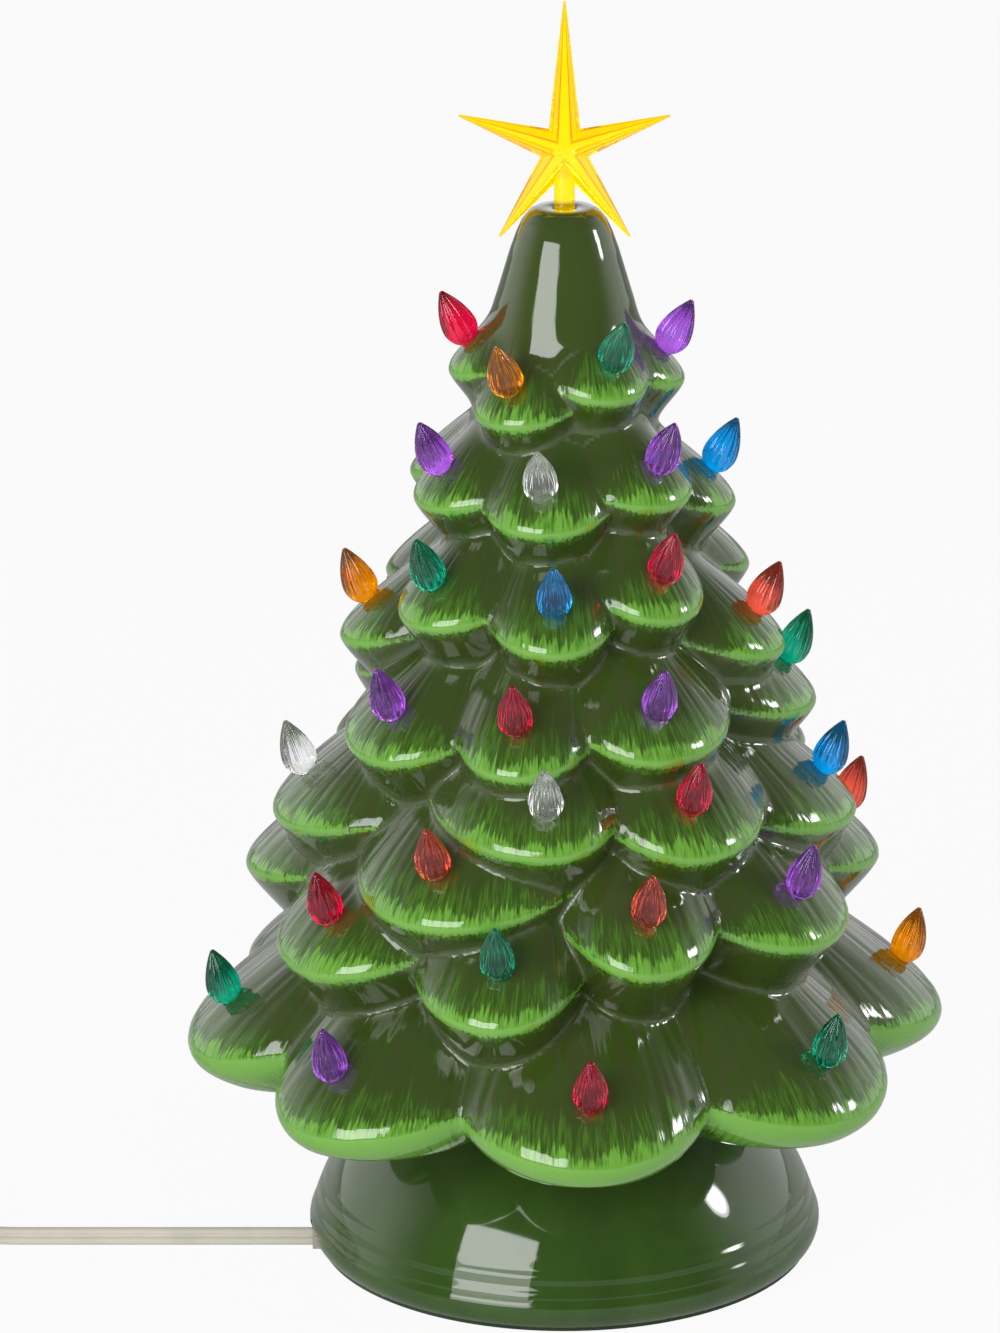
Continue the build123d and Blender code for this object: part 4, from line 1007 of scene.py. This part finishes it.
class TREE_OT_cord(bpy.types.Operator):
    """Lay the flat twin cord from the base through the switch and the coil to the plug"""

    bl_idname = "ceramic_tree.cord"
    bl_label = "Cord"

    def execute(self, context):
        look = context.scene.tree_base
        ivory = moulded("cord_vinyl", look.ivory, roughness=0.32, grain_scale=500.0, grain_depth=0.00008)
        route = self.smooth_route("cord_route", [*RUN_POINTS, *LEAD_POINTS, *self.coil_points()])
        cord = self.twin_cord("cord", route, look.cord_tilt, ivory)
        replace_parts(cord, "cord_run", "cord_lead", "cord_coil", "cord_tail")
        inner_route = self.smooth_route("inner_route", INNER_LEAD_POINTS)
        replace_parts(self.twin_cord("inner_cord", inner_route, look.cord_tilt, ivory), "inner_lead")
        return {"FINISHED"}

    def coil_points(self):
        """Route points of the coil: spiral in below, climb half a turn, spiral out above, then the tail."""
        middle_x = COIL_START[0] + COIL_RADIUS
        middle_y = COIL_START[1] + CORD_WIDTH
        inner = COIL_RADIUS - COIL_PITCH * HALF_TURNS_IN / 2
        turns = HALF_TURNS_IN + 1 + HALF_TURNS_OUT
        bulge = 1 / (SPAN_WEIGHT + (1 - SPAN_WEIGHT) * cos(pi / COIL_POINTS))
        points = []
        for index in range(turns * COIL_POINTS + 1):
            halves = index / COIL_POINTS
            climb = smooth_step(0, 1, halves - HALF_TURNS_IN)
            inward = COIL_PITCH / 2 * max(0, HALF_TURNS_IN - halves)
            outward = COIL_PITCH / 2 * max(0, halves - HALF_TURNS_IN - 1)
            drawn = CLIMB_DRAW_IN * sin(pi * min(max(halves - HALF_TURNS_IN, 0), 1))
            radius = (inner + inward + outward - drawn) * bulge
            turn = pi - pi * halves
            height = COIL_HEIGHT + COIL_PITCH * climb
            points.append((middle_x + radius * cos(turn), middle_y + radius * sin(turn), float(height)))
        last_x = middle_x - inner - COIL_PITCH * HALF_TURNS_OUT / 2
        return points + [(last_x, y, z) for y, z in TAIL_TURNS]

    def smooth_route(self, name, points):
        """Points in metres along a NURBS spline whose control points, in millimetres, are these."""
        curve = bpy.data.curves.new(name, "CURVE")
        curve.dimensions = "3D"
        curve.resolution_u = ROUTE_STEPS
        spline = curve.splines.new("NURBS")
        spline.points.add(len(points) - 1)
        for point, place in zip(spline.points, points):
            point.co = (*(part * MM for part in place), 1)
        spline.order_u = ROUTE_ORDER
        spline.use_endpoint_u = True
        holder = bpy.data.objects.new(name, curve)
        line = bpy.data.meshes.new_from_object(holder)
        route = [vertex.co.copy() for vertex in line.vertices]
        bpy.data.objects.remove(holder)
        bpy.data.curves.remove(curve)
        bpy.data.meshes.remove(line)
        return route

    def twin_cord(self, name, route, tilt, material):
        """Two joined round leads swept along a route, leaning from standing on edge."""
        places = np.array(route)
        ways = np.gradient(places, axis=0)
        ways /= np.linalg.norm(ways, axis=1)[:, None]
        up = np.array([0, 0, 1.0])
        if abs(ways[-1][2]) > STEEP:
            up = np.array([0, 1.0, 0])
        side = np.cross(ways, up)
        side /= np.linalg.norm(side, axis=1)[:, None]
        upright = np.cross(side, ways)
        long_way = cos(tilt) * upright + sin(tilt) * side
        short_way = cos(tilt) * side - sin(tilt) * upright
        lead = CORD_WIDTH / 4 * MM
        outline = []
        for middle, start in ((lead, GROOVE_ANGLE - 90), (-lead, GROOVE_ANGLE + 90)):
            for step in range(LEAD_STEPS + 1):
                turn = radians(start + (360 - 2 * GROOVE_ANGLE) * step / LEAD_STEPS)
                outline.append((middle + lead * sin(turn), lead * cos(turn)))
        rings = [places + along * long_way + out * short_way for along, out in outline]
        points = np.stack(rings, 1).reshape(-1, 3)
        sides = len(outline)
        faces = [tuple(face) for face in ring_faces(len(places), sides)]
        faces.append(tuple(range(sides)))
        faces.append(tuple(range(len(points) - sides, len(points)))[::-1])
        cord = mesh_piece(name, points, faces, [material], "base", ())
        cord.data.set_sharp_from_angle(angle=CORD_SHARP)
        return cord


class TREE_OT_shell(bpy.types.Operator):
    """Make the hollow glazed tree with its ridged and painted branches"""

    bl_idname = "ceramic_tree.shell"
    bl_label = "Tree"

    def execute(self, context):
        look = context.scene.tree_glaze
        sides = look.sides
        bearings = 360 * np.arange(sides) / sides
        count = round((CAP_SHOULDER - TREE_UNDERSIDE) * MM / look.step)
        cap_turns = np.linspace(0, pi / 2, CAP_RINGS)[:-1]
        cap_heights = CAP_SHOULDER + (TREE_TOP - CAP_SHOULDER) * np.cos(cap_turns)
        heights = np.concatenate([cap_heights, np.linspace(CAP_SHOULDER, TREE_UNDERSIDE, count)])
        bearing, height = np.meshgrid(bearings, heights)
        radius, needles = tree_fields(bearing, height)
        inner_heights = np.linspace(TREE_UNDERSIDE + FLOOR_THICK, INNER_TOP, INNER_RINGS)
        inner_bearing, inner_height = np.meshgrid(bearings, inner_heights)
        inner_radius, _ = tree_fields(inner_bearing, inner_height, ridged=False)
        top, foot, end = (self.round_rings(rings, sides) for rings in (TOP_RINGS, FOOT_RINGS, INNER_END))
        radii = np.concatenate([top[0], radius, foot[0], inner_radius - WALL_REACH, end[0]])
        levels = np.concatenate([top[1], height, foot[1], inner_height, end[1]])
        x, y = polar(radii, bearings[None, :])
        points = np.stack([x, y, levels], -1).reshape(-1, 3) * MM
        faces = ring_faces(len(radii), sides)
        finishes = [branch_glaze(look), bisque("bare_clay", look.clay)]
        piece = mesh_piece("tree", points, faces.tolist(), finishes, "tree", RING_NODES)
        field = np.zeros((len(radii), sides, 3), np.float32)
        field[:, :, 1] = UNPAINTED
        glazed_end = len(TOP_RINGS) + len(radius)
        field[len(TOP_RINGS):glazed_end] = needles
        attribute = piece.data.attributes.new("needles", "FLOAT_VECTOR", "POINT")
        attribute.data.foreach_set("vector", field.ravel())
        bare_from = (glazed_end + GLAZED_FOOT_RINGS) * sides
        material_of = (np.arange(len(faces)) >= bare_from).astype(np.int32)
        piece.data.polygons.foreach_set("material_index", material_of)
        piece.data.set_sharp_from_angle(angle=SHELL_SHARP)
        return {"FINISHED"}

    def round_rings(self, profile, sides):
        """Radii and heights of level round rings, a row for each point of a profile."""
        return [np.repeat(np.array(part)[:, None], sides, 1) for part in zip(*profile)]


class TREE_OT_bulbs(bpy.types.Operator):
    """Set the fluted bulbs into the branches"""

    bl_idname = "ceramic_tree.bulbs"
    bl_label = "Bulbs"

    def execute(self, context):
        look = context.scene.tree_bulbs
        points, faces = self.fluted_bulb(look.flutes, look.flute_depth)
        for colour in COLOURS:
            shade = getattr(look, colour)
            deep = toned(shade, BULB_DEEPER)
            clearness = 1.0 if colour == "clear" else look.clearness
            material = clear_plastic(f"bulb_{colour}", shade, deep, clearness, look.painted_glow)
            for tier in sorted(set(TIER_OF_ROW)):
                group = [branch for branch in BRANCHES if (branch.tier, branch.colour) == (tier, colour)]
                if group:
                    self.bulb_group(f"bulbs_{tier}_{colour}", group, points, faces, material, colour)
        return {"FINISHED"}

    def bulb_group(self, node, branches, points, faces, material, colour):
        """All the bulbs of one node, each on its branch, as one piece."""
        places = []
        quads = []
        for branch in branches:
            sunk = bulb_seat(branch) @ Matrix.Translation((0, 0, -BULB_SUNK))
            turned = points @ np.array(sunk.to_3x3()).T + np.array(sunk.translation)
            quads.extend((faces + len(places) * len(points)).tolist())
            places.append(turned * MM)
        name, slot = f"{node}_fluted", f"bulb_{colour}"
        mesh_piece(name, np.concatenate(places), quads, [material], "tree", [node])

    def fluted_bulb(self, flutes, depth):
        """Points in millimetres and faces of one bulb: pointed tip, fluted sides, round foot and peg."""
        sides = flutes * FLUTE_POINTS
        turns = 2 * pi * np.arange(sides) / sides
        upper_heights = np.linspace(BULB_HEIGHT, BULB_RADIUS, BULB_UPPER_RINGS)
        lower_heights = np.linspace(BULB_RADIUS, BULB_FOOT, BULB_LOWER_RINGS)[1:]
        heights = np.concatenate([upper_heights, lower_heights])
        share = np.clip((heights - BULB_RADIUS) / (BULB_HEIGHT - BULB_RADIUS), 0, 1)
        upper = BULB_TIP_RADIUS + (BULB_DRAWN_RADIUS - BULB_TIP_RADIUS) * (1 - share**BULB_TAPER)
        drop = np.clip(1 - heights / BULB_RADIUS, 0, 1)
        lower = np.maximum(BULB_DRAWN_RADIUS * np.sqrt(1 - drop**2), PEG_RADIUS)
        radii = np.where(heights > BULB_RADIUS, upper, lower)
        strength = smooth_step(*FLUTE_START, heights) * (1 - smooth_step(*FLUTE_END, share))
        groove = np.abs(np.cos(turns * flutes / 2))[None, :] ** FLUTE_POWER
        fluted = radii[:, None] * (1 - depth * strength[:, None] * (1 - groove))
        ends = np.array([[PEG_RADIUS, PEG_TOP], [PEG_RADIUS, -PEG_LENGTH], [PINCH_RADIUS, -PEG_LENGTH]])
        tip = np.full((1, sides), PINCH_RADIUS)
        radius = np.concatenate([tip, fluted, np.repeat(ends[:, :1], sides, 1)])
        height = np.concatenate([[BULB_HEIGHT + BULB_POINT], heights, ends[:, 1]])
        x = radius * np.cos(turns)
        y = radius * np.sin(turns)
        z = np.repeat(height[:, None], sides, 1)
        points = np.stack([x, y, z], -1).reshape(-1, 3)
        return points, ring_faces(len(radius), sides)


class TREE_OT_star(bpy.types.Operator):
    """Dress the star at the top"""

    bl_idname = "ceramic_tree.star"
    bl_label = "Star"

    def execute(self, context):
        look = context.scene.tree_bulbs
        dress("star_topper", star_plastic(look.star, look.star_edge_shade))
        return {"FINISHED"}


class TREE_OT_base(bpy.types.Operator):
    """Dress the base, its felt and the grommet of the cord"""

    bl_idname = "ceramic_tree.base"
    bl_label = "Base"

    def execute(self, context):
        look = context.scene.tree_base
        gloss = context.scene.tree_glaze.gloss
        dress("ceramic_base", plain_glaze("base_glaze", look.glaze, look.glaze_deep, gloss))
        dress("felt_ring", felt_cloth("felt", FELT_GREEN))
        dress("cord_grommet", moulded("grommet_rubber", GROMMET_GREY, roughness=0.5))
        return {"FINISHED"}


class TREE_OT_lamp(bpy.types.Operator):
    """Dress the lamp and its socket inside the tree"""

    bl_idname = "ceramic_tree.lamp"
    bl_label = "Lamp"

    def execute(self, context):
        look = context.scene.tree_base
        threaded = metal("threaded_brass", look.brass, roughness=0.22, thread=LAMP_THREAD)
        steel = metal("spring_steel", SPRING_GREY, roughness=0.25)
        phenolic = moulded("dark_phenolic", PHENOLIC_BROWN, roughness=0.35)
        dress("lamp_socket", phenolic)
        dress("lamp_insulator", phenolic)
        dress("socket_clips", steel)
        dress("lamp_filament", steel)
        dress("screw_shell", threaded)
        dress("lamp_cap", threaded)
        dress("centre_contact", metal("plain_brass", look.brass, roughness=0.25))
        dress("lamp_glass", lamp_bulb_glass())
        return {"FINISHED"}


class TREE_OT_fittings(bpy.types.Operator):
    """Dress the in-line switch, the plug and the tie of the coil"""

    bl_idname = "ceramic_tree.fittings"
    bl_label = "Switch and plug"

    def execute(self, context):
        look = context.scene.tree_base
        ivory = moulded("ivory_plastic", look.ivory, roughness=0.38, grain_scale=260.0, grain_depth=0.0002)
        for node in ("switch_lower", "switch_upper", "plug_body"):
            dress(node, ivory)
        dress("switch_rocker", moulded("rocker_plastic", ROCKER_BROWN, roughness=0.25))
        dress("switch_screws", metal("screw_steel", SCREW_GREY, roughness=0.3))
        dress("plug_blades", metal("blade_brass", look.brass, roughness=0.2))
        dress("coil_tie", moulded("tie_vinyl", TIE_BLACK, roughness=0.4))
        return {"FINISHED"}


class TREE_PT_panel(bpy.types.Panel):
    """Makes the tree's pieces in order"""

    bl_label = "Ceramic tree"
    bl_idname = "TREE_PT_panel"
    bl_space_type = "VIEW_3D"
    bl_region_type = "UI"
    bl_category = "Ceramic tree"

    def draw(self, context):
        for operator in PIECE_OPERATORS:
            self.layout.operator(operator.bl_idname)
        for group in SETTINGS:
            settings = getattr(context.scene, group)
            for name in settings.bl_rna.properties.keys():
                if name not in ("rna_type", "name"):
                    self.layout.prop(settings, name)


SETTINGS = {
    "tree_stage": StageSettings,
    "tree_glaze": TreeSettings,
    "tree_bulbs": BulbSettings,
    "tree_base": BaseSettings,
}
PIECE_OPERATORS = (
    TREE_OT_stage,
    TREE_OT_cord,
    TREE_OT_shell,
    TREE_OT_bulbs,
    TREE_OT_star,
    TREE_OT_base,
    TREE_OT_lamp,
    TREE_OT_fittings,
)


def register():
    for kind in (*SETTINGS.values(), *PIECE_OPERATORS, TREE_PT_panel):
        bpy.utils.register_class(kind)
    for name, kind in SETTINGS.items():
        setattr(bpy.types.Scene, name, PointerProperty(type=kind))


def unregister():
    for name in SETTINGS:
        delattr(bpy.types.Scene, name)
    for kind in (TREE_PT_panel, *reversed(PIECE_OPERATORS), *reversed(SETTINGS.values())):
        bpy.utils.unregister_class(kind)


def main():
    """Makes every piece in order."""
    register()
    for operator in PIECE_OPERATORS:
        getattr(bpy.ops.ceramic_tree, operator.bl_idname.split(".")[1])()
    bpy.context.view_layer.update()


if __name__ == "__main__":
    main()
